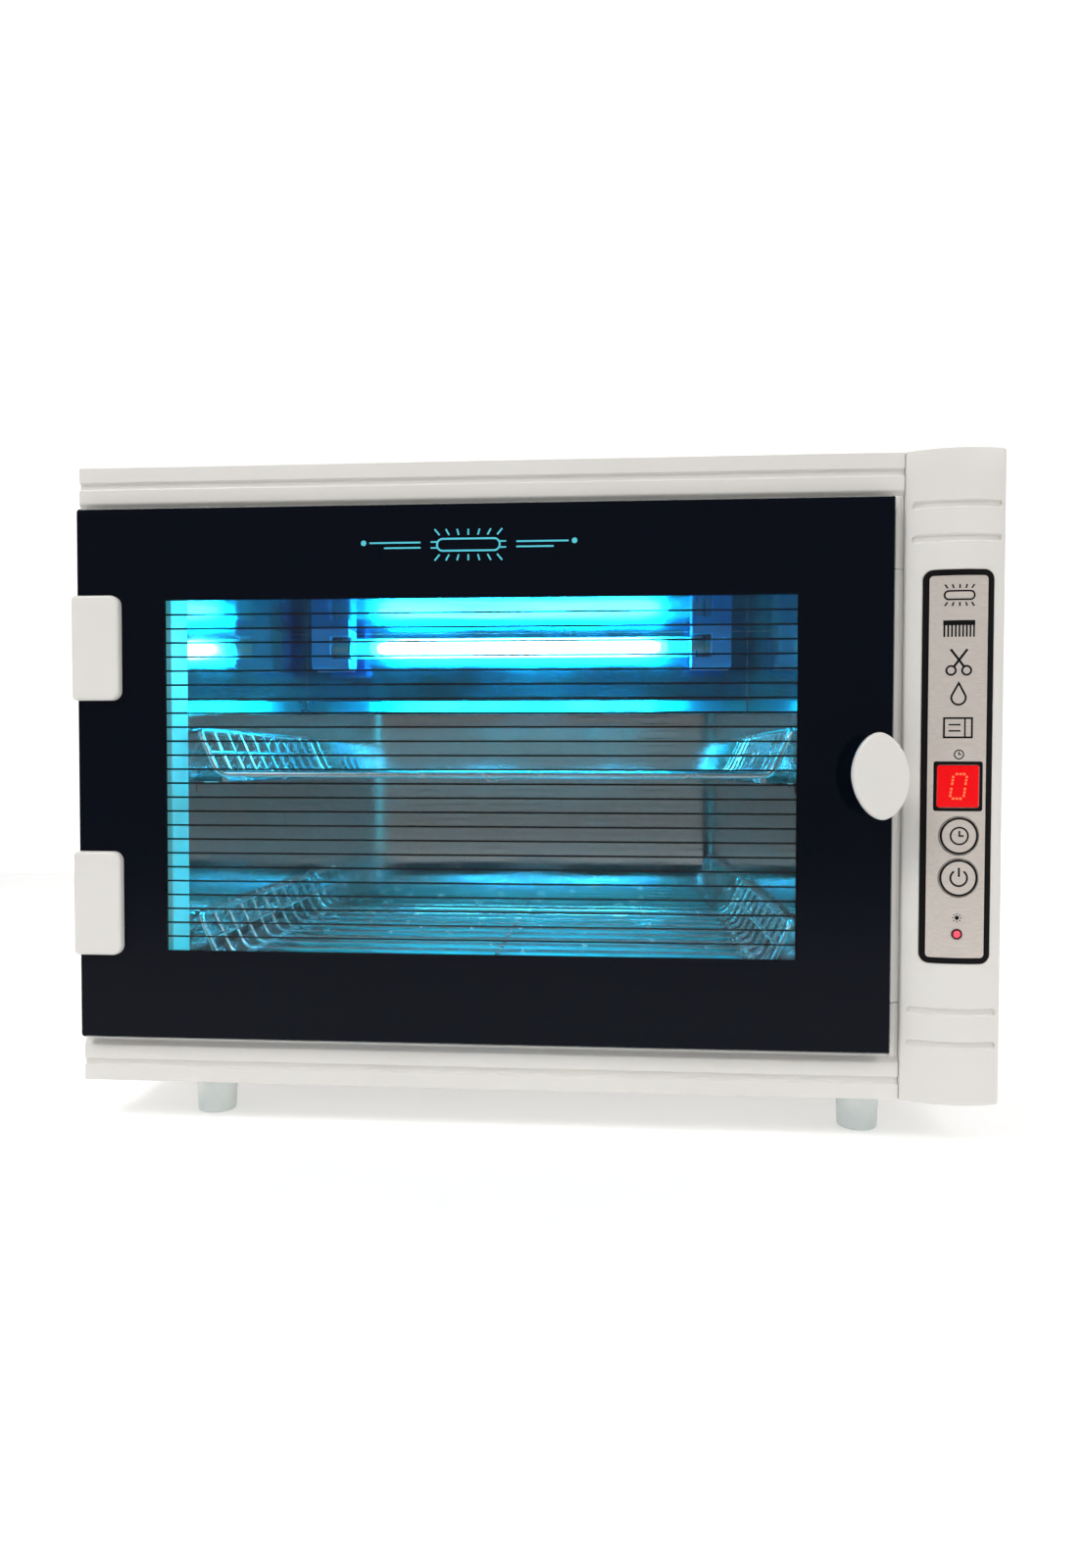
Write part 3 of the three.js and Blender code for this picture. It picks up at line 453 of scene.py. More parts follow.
def arc(cx, cy, radius, start, end, steps):
    """Points along a circle between two angles in degrees."""
    angles = [math.radians(start + (end - start) * i / steps) for i in range(steps + 1)]
    return [(cx + radius * math.cos(a), cy + radius * math.sin(a)) for a in angles]


def circle(cx, cy, radius, sides=40):
    return arc(cx, cy, radius, 0, 360, sides)[:-1]


def rounded(cx, cy, width, height, radii, steps=8):
    """A rectangle with rounded corners; the radii run from the lower left corner round."""
    if not isinstance(radii, (list, tuple)):
        radii = [radii] * 4
    lower_left, lower_right, upper_right, upper_left = radii
    x0, x1, y0, y1 = cx - width / 2, cx + width / 2, cy - height / 2, cy + height / 2
    return (
        arc(x0 + lower_left, y0 + lower_left, lower_left, 180, 270, steps)
        + arc(x1 - lower_right, y0 + lower_right, lower_right, 270, 360, steps)
        + arc(x1 - upper_right, y1 - upper_right, upper_right, 0, 90, steps)
        + arc(x0 + upper_left, y1 - upper_left, upper_left, 90, 180, steps)
    )


def turned(profile, place, axis="z", sides=40):
    """A solid of revolution from (radius, height) pairs, about an axis through a place."""
    stand = {
        "x": lambda a, b, height: (height, a, b),
        "y": lambda a, b, height: (a, height, b),
        "z": lambda a, b, height: (a, b, height),
    }[axis]
    rings = []
    for radius, height in profile:
        rings.append([Vector(place) + Vector(stand(a, b, height)) for a, b in circle(0, 0, radius, sides)])
    return loft(rings)


def sweep(path, radius, sides=10, closed=False):
    """A round bar along a path, with a section that doesn't twist."""
    path = [Vector(p) for p in path]
    if closed:
        path = path + path[:2]
    count = len(path)
    tangents = [(path[min(i + 1, count - 1)] - path[max(i - 1, 0)]).normalized() for i in range(count)]
    if closed:
        tangents[0] = tangents[-2]
    aside = tangents[0].orthogonal().normalized()
    rings = []
    for point, tangent in zip(path, tangents):
        aside = (aside - tangent * aside.dot(tangent)).normalized()
        across = tangent.cross(aside)
        rings.append([point + (aside * a + across * b) * radius for a, b in circle(0, 0, 1, sides)])
    return loft(rings[:-1] if closed else rings)


def filleted(corners, radius, steps=5, closed=False):
    """A path whose corners are rounded off."""
    corners = [Vector(c) for c in corners]
    ring = [corners[-1]] + corners + [corners[0]] if closed else corners
    path = [] if closed else [corners[0]]
    for before, corner, after in zip(ring, ring[1:], ring[2:]):
        start = corner + (before - corner).normalized() * radius
        end = corner + (after - corner).normalized() * radius
        for i in range(steps + 1):
            t = i / steps
            path.append(start * (1 - t) ** 2 + corner * 2 * t * (1 - t) + end * t**2)
    return path if closed else path + [corners[-1]]


def pillow(outline, face, back, edge, dome=0.0, back_edge=0.0, steps=5):
    """A slab with a rounded front edge and a slightly swollen face.

    outline(inset) gives its (x, z) ring, and face(x, z) the Y of its front.
    """
    rings = [[(x, back, z) for x, z in outline(back_edge)]]
    if back_edge:
        rings.append([(x, back - back_edge, z) for x, z in outline(0)])
    for i in range(steps + 1):
        angle = math.radians(90 * i / steps)
        inset, depth = edge * (1 - math.cos(angle)), edge * (1 - math.sin(angle)) + dome
        rings.append([(x, face(x, z) + depth, z) for x, z in outline(inset)])
    rim = outline(edge)
    cx = sum(x for x, z in rim) / len(rim)
    cz = sum(z for x, z in rim) / len(rim)
    for share in (0.9, 0.75, 0.6, 0.45, 0.3, 0.15):
        ring = [(cx + (x - cx) * share, cz + (z - cz) * share) for x, z in rim]
        rings.append([(x, face(x, z) + dome * share**2, z) for x, z in ring])
    return loft(rings)


# ---------------------------------------------------------------- flat shapes and prints


def strip(points, width, closed=False):
    """A flat ribbon of even width along a 2D path."""
    count = len(points)
    path = [Vector(p) for p in points]
    left, right = [], []
    for i, point in enumerate(path):
        before = path[i - 1] if closed or i else point * 2 - path[1]
        after = path[(i + 1) % count] if closed or i < count - 1 else point * 2 - before
        first = (point - before).normalized()
        along = (first + (after - point).normalized()).normalized()
        side = Vector((-along.y, along.x)) * (width / 2 / max(0.3, along.dot(first)))
        left.append(tuple(point + side))
        right.append(tuple(point - side))
    return band(left, right, closed)


def band(first, second, closed=True):
    """The area between two outlines with equally many points."""
    count = len(first)
    last = count if closed else count - 1
    faces = [(i, (i + 1) % count, count + (i + 1) % count, count + i) for i in range(last)]
    return list(first) + list(second), faces


def patch(outline):
    return list(outline), [tuple(range(len(outline)))]


def rect(x0, x1, z0, z1):
    return patch([(x0, z0), (x1, z0), (x1, z1), (x0, z1)])


def layer(parts, near, far, station):
    """Flat (x, z) shapes as a solid layer between two surfaces, cut at stations to follow a curve."""
    flat = Shape(*[([(x, 0, z) for x, z in points], faces) for points, faces in parts])
    sheet = bmesh.new()
    corners = [sheet.verts.new(p) for p in flat.points]
    for face in flat.faces:
        sheet.faces.new([corners[i] for i in face])
    low = min(p[0] for p in flat.points)
    high = max(p[0] for p in flat.points)
    for i in range(1, math.ceil((high - low) / station)):
        everything = sheet.verts[:] + sheet.edges[:] + sheet.faces[:]
        bmesh.ops.bisect_plane(sheet, geom=everything, plane_co=(low + i * station, 0, 0), plane_no=(1, 0, 0))
    sheet.verts.index_update()
    points = [near(v.co.x, v.co.z) for v in sheet.verts] + [far(v.co.x, v.co.z) for v in sheet.verts]
    count = len(sheet.verts)
    faces = []
    for face in sheet.faces:
        loop = [v.index for v in face.verts]
        faces += [tuple(loop), tuple(count + i for i in reversed(loop))]
    for edge in sheet.edges:
        if edge.is_boundary:
            a, b = (v.index for v in edge.verts)
            faces.append((a, b, count + b, count + a))
    sheet.free()
    return points, faces


def printed(name, parts, lay, body, material, slot, thickness=0.03, station=2.0):
    """Ink on a surface: lay(x, z, lift) gives the surface's point at a lift in front of it."""
    gap = 0.01
    shape = Shape(layer(parts, lambda x, z: lay(x, z, gap), lambda x, z: lay(x, z, gap + thickness), station))
    return piece(name, shape, body, slot, material=material)


# ---------------------------------------------------------------- door

WINDOW = {"left": -200.2, "right": 144.4, "low": 75.2, "high": 269.4}
FLAT = 1000  # a station longer than any part, so a flat layer isn't cut


def border_parts():
    """The printed border around the window, with notches at the left edge for the hinge brackets."""
    pane_low, pane_high = span("door_glass")
    edge, notch_width, clearance = 0.7, 10, 4
    left, right = pane_low.x + edge, pane_high.x - edge
    low, high = pane_low.z + edge, pane_high.z - edge
    notch_right = left + notch_width
    parts = [
        rect(notch_right, right, low, WINDOW["low"]),
        rect(notch_right, right, WINDOW["high"], high),
        rect(notch_right, WINDOW["left"], WINDOW["low"], WINDOW["high"]),
        rect(WINDOW["right"], right, WINDOW["low"], WINDOW["high"]),
    ]
    level = low
    for bracket in ("hinge_bracket_lower", "hinge_bracket_upper"):
        bracket_low, bracket_high = span(bracket)
        parts.append(rect(left, notch_right, level, bracket_low.z - clearance))
        level = bracket_high.z + clearance
    return parts + [rect(left, notch_right, level, high)]


def lay_before_pane(x, z, lift):
    return x, span("door_glass")[0].y - lift, z


def lay_behind_pane(x, z, lift):
    return x, span("door_glass")[1].y + lift, z


def build_door_print():
    """A black border on both faces of the pane, and fine lines across the window on its rear face."""
    lines, half_line = 24, 0.5
    pitch = (WINDOW["high"] - WINDOW["low"]) / (lines + 1)
    rear = border_parts()
    for i in range(1, lines + 1):
        z = WINDOW["low"] + i * pitch
        rear.append(rect(WINDOW["left"], WINDOW["right"], z - half_line, z + half_line))
    printed("door_print", rear, lay_behind_pane, "door", BLACK_PRINT, "door_glass", station=FLAT)
    front = border_parts()
    printed("door_border", front, lay_before_pane, "door", BLACK_GLASS, "door_glass", 0.02, FLAT)


def build_door_motif():
    """A plain lamp-and-rays symbol between two pairs of lines, printed above the window."""
    cx, cz, over_border = -31.0, 297.5, 0.03
    parts = [strip(rounded(cx, cz, 34, 6.4, 3.1), 1.0, closed=True)]
    pins = [(17, 20.5, -1.6, 0.8), (17, 20.5, 1.6, 0.8)]
    wings = [(26, 54, 1.4, 0.9), (26, 46, -1.4, 0.9)]
    for side in (-1, 1):
        for start, end, height, width in pins + wings:
            line = [(cx + side * start, cz + height), (cx + side * end, cz + height)]
            parts.append(strip(line, width))
        parts.append(patch(circle(cx + side * 57.2, cz + 1.4, 1.5, 20)))
    for i in range(-3, 4):
        for way in (-1, 1):
            ray = [(cx + i * 5.2, cz + way * 5.2), (cx + i * 6.1, cz + way * 8.4)]
            parts.append(strip(ray, 0.9))

    def lay(x, z, lift):
        return lay_before_pane(x, z, lift + over_border)

    printed("door_motif", parts, lay, "door", CYAN_INK, "door_glass", 0.02, FLAT)


def build_hinge_caps():
    """Soft-edged plastic caps that wrap the left edge of the pane, with the bosses that hold the pins."""
    glass_low, glass_high = span("door_glass")
    clearance, bracket_end, boss_height, boss_width = 0.3, 7.9, 10.2, 9
    edge = glass_low.x - clearance
    for level in ("lower", "upper"):
        low, high = span(f"hinge_cap_{level}")
        centre = (low + high) / 2
        bracket_low, bracket_high = span(f"hinge_bracket_{level}")
        width, height = high.x - low.x, high.z - low.z

        def outline(inset):
            radii = [max(r - inset, 0.4) for r in (2.4, 5.4, 5.4, 2.4)]
            return rounded(centre.x, centre.z, width - 2 * inset, height - 2 * inset, radii)

        shape = Shape(pillow(outline, lambda x, z: low.y, glass_low.y - clearance, 1.7, dome=0.35))
        gap_low, gap_high = bracket_low.z + bracket_end, bracket_high.z - bracket_end
        for z0, z1 in ((low.z + 2, gap_low), (gap_high, high.z - 2)):
            shape.add(box(low.x + 0.3, edge, glass_low.y - 1, glass_high.y, z0, z1))
        for z0, z1 in ((gap_low - boss_height, gap_low), (gap_high, gap_high + boss_height)):
            shape.add(box(edge - 0.2, edge + boss_width, glass_low.y - 1, glass_high.y, z0, z1))
        cover = f"hinge_cover_{level}"
        piece(cover, shape, "door", "white_plastic", f"hinge_cap_{level}")


def build_knob():
    """A slightly pointed oval pull with a softly swollen face and a waisted neck, leaning a little."""
    low, high = span("door_knob")
    centre = (low + high) / 2
    half_width, half_height = (high.x - low.x) / 2 - 0.4, (high.z - low.z) / 2 - 0.2
    lean, pointedness = math.tan(math.radians(2.5)), 1.11
    plate, overlap = 5.0, 0.4

    def oval(inset):
        ring = []
        for pair in circle(0, 0, 1, 64):
            a, b = (math.copysign(abs(c) ** pointedness, c) for c in pair)
            x, z = (half_width - inset) * a, (half_height - inset) * b
            ring.append((centre.x + x - z * lean, centre.z + z))
        return ring

    shape = Shape(pillow(oval, lambda x, z: low.y, low.y + plate, 1.6, dome=0.9, back_edge=0.7))
    neck_start = low.y + plate - overlap
    neck = high.y - neck_start
    profile = [(9.5, 0), (7.6, 1.2), (6.4, 3.4), (5.9, neck * 0.45), (6.1, neck * 0.65)]
    profile += [(7.2, neck - 2.2), (8.7, neck - 0.9), (9.0, neck)]
    shape.add(turned(profile, (centre.x, neck_start, centre.z), axis="y", sides=48))
    piece("knob_pull", shape, "door", "white_plastic", "door_knob")


# ---------------------------------------------------------------- control column

BOW = {"x": 229.0, "radius": 59.4, "front": -8.2}
GROOVES = (315, 297.5, 49.3, 31.7)
GROOVE_HALF = 2.1
GROOVE_DEPTH = 1.5
WALL = 2.5
FILM_LIFT = 0.1
KEY_RADIUS = 9.9
KEY_OPENING = 10.3
LED_OPENING = 2.8
AHEAD = -20  # a depth in front of the whole column


def bow(x, lift=0.0):
    """Depth of the column's bowed front at a place across it, raised towards the front by a lift."""
    return BOW["front"] + BOW["radius"] - math.sqrt(BOW["radius"] ** 2 - (x - BOW["x"]) ** 2) - lift


def lay_on_film(x, z, lift):
    return x, bow(x, FILM_LIFT + lift), z


def groove_depth(x, z, low_x, high_x):
    """How far the round-ended grooves sink the skin at a place on the column's front."""
    deepest = 0.0
    for level in GROOVES:
        nearest = min(max(x, low_x + GROOVE_HALF), high_x - GROOVE_HALF)
        inside = GROOVE_HALF - math.hypot(x - nearest, z - level)
        ramp = min(max((inside + 0.1) / 0.7, 0.0), 1.0)
        deepest = max(deepest, GROOVE_DEPTH * ramp * ramp * (3 - 2 * ramp))
    return deepest


def column_profile(left, right, back):
    """The column's outline from above: bowed front, a round right corner and square rear corners.

    Its points stand close together at both ends of the front, where the grooves end.
    """
    corner = 4.0
    slope = math.asin((right - 0.7 * corner - BOW["x"]) / BOW["radius"])
    last = right - corner * (1 - math.sin(slope))
    near_left = (0.0, 0.25, 0.6, 1.2, 2.0, 2.6, 2.9, 3.2, 3.6, 4.1, 4.7, 5.5, 6.8)
    near_right = (4.9, 3.6, 2.7, 2.0, 1.5, 1.1, 0.8, 0.5, 0.0)
    start, end, steps = left + near_left[-1], last - near_right[0], 20
    across = [left + d for d in near_left[:-1]]
    across += [start + (end - start) * i / steps for i in range(steps)]
    across += [last - d for d in near_right]
    front = [(x, bow(x)) for x in across]
    front[0] = (left, bow(left) + 0.25)
    corner_y = bow(last) + corner * math.cos(slope)
    turn = arc(right - corner, corner_y, corner, math.degrees(slope) - 90, 0, 8)[1:]
    side = [(right, back * share) for share in (0.4, 0.7)]
    return front + turn + side + [(right, back), (left, back)], len(front)


def column_rows(height, edge):
    """Heights of the column's rings, close together at the grooves and the end fillets, with their insets."""
    steps = [math.radians(a) for a in (0, 22, 45, 67, 90)]
    fillet = [(edge * (1 - math.cos(a)), edge * (1 - math.sin(a))) for a in steps]
    rows = fillet + [(height - z, inset) for z, inset in fillet]
    rows += [(z, 0.0) for z in (16, 70, 110, 150, 190, 230, 265, 330)]
    for level in GROOVES:
        rows += [(level + side * d, 0.0) for side in (-1, 1) for d in (0.7, 1.3, 1.7, 2.0, 2.25, 2.6)]
        rows.append((level, 0.0))
    return sorted(rows)


def build_column():
    """The hollow column, with its grooves, a pocket for the film and openings for the controls."""
    low, high = span("control_column")
    left, right, back, height = low.x, high.x, high.y, high.z - low.z
    end_rounding, groove_left, groove_right = 1.1, left + 2.9, right - 2.8
    profile, front_count = column_profile(left, right, back)
    rings = []
    for z, inset in column_rows(height, end_rounding):
        ring = []
        for i, (x, y) in enumerate(profile):
            sunk = groove_depth(x, z, groove_left, groove_right) if i < front_count else 0.0
            inward = Vector((BOW["x"] - x, 0.6 * (back - y))).normalized()
            if y >= back - 1:
                inward = Vector((0, 0))
            ring.append((x + inward.x * inset, y + inward.y * inset + sunk, z))
        rings.append(ring)

    room_outline = [rect(left + WALL, right - WALL, WALL, height - WALL)]
    room = layer(room_outline, lambda x, z: (x, bow(x) + WALL, z), lambda x, z: (x, back + 1, z), 3)
    film_low, film_high = span("control_overlay")
    film_size = film_high - film_low
    outline = [patch(film_outline((film_low + film_high) / 2, film_size, 0.2))]
    pocket_depth = 0.45
    pocket = layer(outline, lambda x, z: (x, bow(x, -pocket_depth), z), lambda x, z: (x, AHEAD, z), 2)
    shell = Shape(loft(rings))
    cutters = [Shape(room), Shape(pocket)] + control_openings(0.0)
    piece("column_shell", shell, "cabinet", "white_plastic", "control_column", cutters=cutters)
    build_posts()


def build_posts():
    """Posts on the column's inner face that carry the control board."""
    posts = Shape()
    board, rooted = span("control_board")[0].y, 2
    for z in (80, 276):
        for x in (209, 243):
            end = board - 0.2 - bow(x) - rooted
            profile = [(4.0, 0), (3.1, 1.4), (2.7, 4), (2.5, end - 0.8), (2.0, end)]
            posts.add(turned(profile, (x, bow(x) + rooted, z), "y", 20))
    piece("board_posts", posts, "cabinet", "white_plastic")


def film_outline(centre, size, grow):
    return rounded(centre.x, centre.z, size.x + 2 * grow, size.z + 2 * grow, 5.3 + grow, 10)


def control_openings(grow):
    """Cutters for the keys, the indicator lamp and the display."""
    openings, behind, lens_clearance = [], 2, 0.25
    for name in ("select_button", "power_button", "indicator_led"):
        centre = middle(name)
        radius = grow + (LED_OPENING if name == "indicator_led" else KEY_OPENING)
        cylinder = turned([(radius, AHEAD), (radius, behind)], (centre.x, 0, centre.z), "y", 48)
        openings.append(Shape(cylinder))
    low, high = span("display_lens")
    grow += lens_clearance
    window = box(low.x - grow, high.x + grow, AHEAD, behind, low.z - grow, high.z + grow)
    return openings + [Shape(window)]


def build_film():
    """The silver film on the column, with its black border, rings and symbols."""
    low, high = span("control_overlay")
    centre, size = (low + high) / 2, high - low
    outline = [patch(film_outline(centre, size, 0.0))]
    sheet = layer(outline, lambda x, z: (x, bow(x, -0.4), z), lambda x, z: (x, bow(x, FILM_LIFT), z), 2)
    openings = control_openings(0.05)
    piece("front_film", Shape(sheet), "cabinet", "silver_label", "control_overlay", cutters=openings)

    border = 3.3
    parts = [band(film_outline(centre, size, -0.15), film_outline(centre, size, -border))]
    lens_low, lens_high = span("display_lens")
    lens, lens_size = middle("display_lens"), lens_high - lens_low
    bezel = [rounded(lens.x, lens.z, lens_size.x + g, lens_size.z + g, 1.2, 4) for g in (0.7, 4.2)]
    parts.append(band(*bezel))
    led = middle("indicator_led")
    parts += clock_symbol(lens.x, lens.z + 16.6, 2.3, 0.6)
    parts += sun_symbol(led.x, led.z + 8.6, 1.1, 0.5)
    symbols = (sun_lamp_symbol, comb_symbol, scissors_symbol, drop_symbol, cabinet_symbol)
    top_symbol, symbol_pitch = 267.5, 17.2
    for i, symbol in enumerate(symbols):
        parts += symbol(centre.x, top_symbol - i * symbol_pitch)
    printed("film_print", parts, lay_on_film, "cabinet", INK, "silver_label")


def clock_symbol(x, z, radius, width):
    hands = [(x, z + radius * 0.62), (x, z), (x + radius * 0.5, z)]
    return [strip(circle(x, z, radius, 32), width, closed=True), strip(hands, width)]


def sun_symbol(x, z, radius, width):
    parts = [patch(circle(x, z, radius, 20))]
    for dx, dz in circle(0, 0, 1, 8):
        inner, outer = radius * 1.5, radius * 2.2
        parts.append(strip([(x + dx * inner, z + dz * inner), (x + dx * outer, z + dz * outer)], width))
    return parts


def sun_lamp_symbol(x, z):
    """A short lamp tube with rays."""
    parts = [strip(rounded(x, z, 15, 4.4, 2.1, 6), 0.9, closed=True)]
    for i in (-2, -1, 0, 1, 2):
        parts += [strip([(x + i * 3, z + way * 3.6), (x + i * 3.7, z + way * 5.6)], 0.8) for way in (-1, 1)]
    return parts


def comb_symbol(x, z):
    parts = [rect(x - 8, x + 8, z + 1.6, z + 4.2)]
    teeth = 9
    for i in range(teeth):
        tooth = x - 7.4 + i * 14.8 / (teeth - 1)
        parts.append(rect(tooth - 0.45, tooth + 0.45, z - 4.4, z + 1.6))
    return parts


def scissors_symbol(x, z):
    """Crossed blades over two finger rings."""
    parts = []
    for way in (-1, 1):
        parts.append(strip([(x - way * 4.2, z + 6.4), (x + way * 2.5, z - 2.6)], 1.2))
        parts.append(strip(circle(x + way * 3.9, z - 4.6, 2.3, 24), 1.0, closed=True))
    return parts


def drop_symbol(x, z):
    outline = arc(x, z - 1.6, 3.6, -215, 35, 20) + [(x, z + 6)]
    return [strip(outline, 1.0, closed=True)]


def cabinet_symbol(x, z):
    frame_line = [(x - 7, z - 5), (x + 7, z - 5), (x + 7, z + 5), (x - 7, z + 5)]
    parts = [strip(frame_line, 1.0, closed=True), strip([(x + 3.4, z - 5), (x + 3.4, z + 5)], 0.8)]
    parts += [strip([(x - 4.8, z + h), (x + 1.2, z + h)], 0.8) for h in (-1.6, 1.6)]
    return parts


def build_display():
    """A red lens with a seven-segment digit that shows through it as short dashes."""
    low, high = span("display_lens")
    centre, size = (low + high) / 2, high - low

    def outline(inset):
        return rounded(centre.x, centre.z, size.x - 2 * inset, size.z - 2 * inset, max(0.9 - inset, 0.2), 4)

    def lay_on_lens(x, z, lift):
        return x, bow(x, 0.05 + lift), z

    shape = Shape(pillow(outline, lambda x, z: bow(x, 0.05), high.y, 0.4))
    piece("red_display_lens", shape, "cabinet", "red_lens", "display_lens")

    half_width, half_height, lean, dash_width = 3.4, 6.4, 0.14, 1.1
    corner = {(sx, sz): (sx * half_width, sz * half_height) for sx in (-1, 1) for sz in (-1, 0, 1)}
    segments = [((-1, 1), (1, 1)), ((-1, -1), (1, -1))]
    segments += [((sx, sz), (sx, 0)) for sx in (-1, 1) for sz in (-1, 1)]
    parts = []
    for start, end in segments:
        start, end = Vector(corner[start]), Vector(corner[end])
        for first, last in ((0.14, 0.34), (0.42, 0.6), (0.68, 0.88)):
            dash = [start.lerp(end, first), start.lerp(end, last)]
            path = [(centre.x + p.x + p.y * lean, centre.z + p.y) for p in dash]
            parts.append(strip(path, dash_width))
    printed("display_digit", parts, lay_on_lens, "cabinet", DIGIT, "red_lens")


def build_keys():
    """Two silver keys that follow the bow, each on its flange and stem, with a ring and a plain symbol."""
    rise = 0.45

    def lay_on_key(x, z, lift):
        return x, bow(x, rise + lift), z

    for name, body in (("select_button", "select_key"), ("power_button", "power_key")):
        low, high = span(name)
        centre = (low + high) / 2
        axis = (centre.x, 0, centre.z)

        def outline(inset):
            return circle(centre.x, centre.z, KEY_RADIUS - inset, 56)

        shape = Shape(pillow(outline, lambda x, z: bow(x, rise), -3.4, 0.25))
        flange, stem = [(10.7, -3.7), (10.7, -2.7)], [(2, -3), (2, high.y)]
        shape.add(turned(flange, axis, "y", 48))
        shape.add(turned(stem, axis, "y", 20))
        piece(f"{name}_cap", shape, body, "button_silver", name)
        if name == "power_button":
            parts = [strip(arc(centre.x, centre.z, 4.2, -235, 55, 28), 1.0)]
            parts.append(strip([(centre.x, centre.z + 0.6), (centre.x, centre.z + 5.4)], 1.0))
        else:
            parts = clock_symbol(centre.x, centre.z, 4.4, 0.9)
        parts.append(band(circle(centre.x, centre.z, 8.6), circle(centre.x, centre.z, 9.75)))
        printed(f"{name}_symbol", parts, lay_on_key, body, INK, "button_silver")


def build_led():
    """A red indicator lamp in a dark red collar."""
    low, high = span("indicator_led")
    centre, radius = (low + high) / 2, (high.x - low.x) / 2
    profile = [(radius, high.y), (radius, low.y + radius)]
    for angle in (0.3, 0.6, 0.9, 1.2, 1.45):
        profile.append((radius * math.cos(angle), low.y + radius * (1 - math.sin(angle))))
    shape = Shape(turned(profile, (centre.x, 0, centre.z), "y", 32))
    piece("led_dome", shape, "cabinet", "red_led", "indicator_led")
    collar = band(circle(centre.x, centre.z, 1.85), circle(centre.x, centre.z, LED_OPENING - 0.05))
    rim = layer([collar], lambda x, z: (x, low.y + 0.5, z), lambda x, z: (x, low.y + 3, z), FLAT)
    piece("led_rim", Shape(rim), "cabinet", "dark_plastic", material=DARK_RED)


# ---------------------------------------------------------------- chamber


def build_baskets():
    """Welded baskets: a closed rod frame, cross wires bent up at both sides, and lengthwise rods."""
    wire, rod, cross_wires = 1.2, 1.8, 11
    floor_half, rim_half, rim_height = 160, 172, 26
    frame_bend, wire_bend, floor_rod_inset, weld = 6, 5, 4, 0.6
    for level in ("lower", "upper"):
        low, high = span(f"{level}_basket")
        cx = (low.x + high.x) / 2
        base = high.z - rod - rim_height
        front, back = low.y + rod, high.y - rod

        def across(y):
            return [
                (cx - rim_half, y, base + rim_height),
                (cx - floor_half, y, base),
                (cx + floor_half, y, base),
                (cx + rim_half, y, base + rim_height),
            ]

        outline = filleted(across(front) + across(back)[::-1], frame_bend, closed=True)
        shape = Shape(sweep(outline, rod, 14, closed=True))
        pitch = (back - front) / (cross_wires - 1)
        for i in range(1, cross_wires - 1):
            shape.add(sweep(filleted(across(front + i * pitch), wire_bend), wire, 10))
        for x in (cx - floor_half + floor_rod_inset, cx, cx + floor_half - floor_rod_inset):
            z = base - wire + weld - rod
            shape.add(sweep([(x, front, z), (x, back, z)], rod, 14))
        for side in (-1, 1):
            x, z = cx + side * (floor_half + rim_half) / 2, base + rim_height / 2
            shape.add(sweep([(x - side * wire, front, z), (x - side * wire, back, z)], wire, 10))
        name, body = f"{level}_wire_basket", f"{level}_shelf"
        piece(name, shape, body, "chromed_wire", f"{level}_basket")


def build_lamp():
    """A clear tube around a bright column of gas."""
    low, high = span("lamp_tube")
    centre, radius = (low + high) / 2, (high.z - low.z) / 2
    shoulder = [(radius - 2.2, 0), (radius - 0.9, 0.5), (radius - 0.25, 1.6), (radius, 3.2)]
    glass = [(r, low.x + along) for r, along in shoulder]
    glass += [(r, high.x - along) for r, along in shoulder[::-1]]
    place = (0, centre.y, centre.z)
    envelope = Shape(turned(glass, place, "x", 48))
    piece("lamp_envelope", envelope, "cabinet", "lamp_glass", "lamp_tube")
    for name, share, start, taper, material in (
        ("lamp_discharge", 0.94, 14, 6, DISCHARGE),
        ("lamp_arc", 0.88, 20, 18, ARC),
    ):
        core, west, east = radius * share, low.x + start, high.x - start - 3
        ends = [(core * 0.35, west), (core * 0.75, west + taper / 3), (core, west + taper)]
        ends += [(core, east - taper), (core * 0.75, east - taper / 3), (core * 0.35, east)]
        shape = Shape(turned(ends, place, "x", 32))
        piece(name, shape, "cabinet", "lamp_glass", material=material)


def build_reflector():
    """A polished strip behind the lamp with a bent lower lip; the strip's blue is painted lamp light and the
    lip's cyan is a painted reflection of it.
    """
    low, high = span("liner_ceiling")
    thickness = 0.6
    left, right, face = low.x + 0.4, high.x - 0.4, span("liner_back")[0].y - 0.7
    top, fold, lip = (face, low.z - 0.6), (face, 229.0), (face - 5.2, 219.0)
    # Painted light: the strip is tinted blue and the lip cyan.
    for name, bend, material in (
        ("lamp_reflector", [top, fold], REFLECTOR_PAINTED_BLUE_LIGHT),
        ("lamp_reflector_lip", [fold, lip], REFLECTOR_LIP_PAINTED_CYAN_LIGHT),
    ):
        section = [strip(bend, thickness)]
        sheet = layer(section, lambda y, z: (left, y, z), lambda y, z: (right, y, z), FLAT)
        piece(name, Shape(sheet), "cabinet", "mirror_liner", material=material)


# ---------------------------------------------------------------- feet, screws, inlet


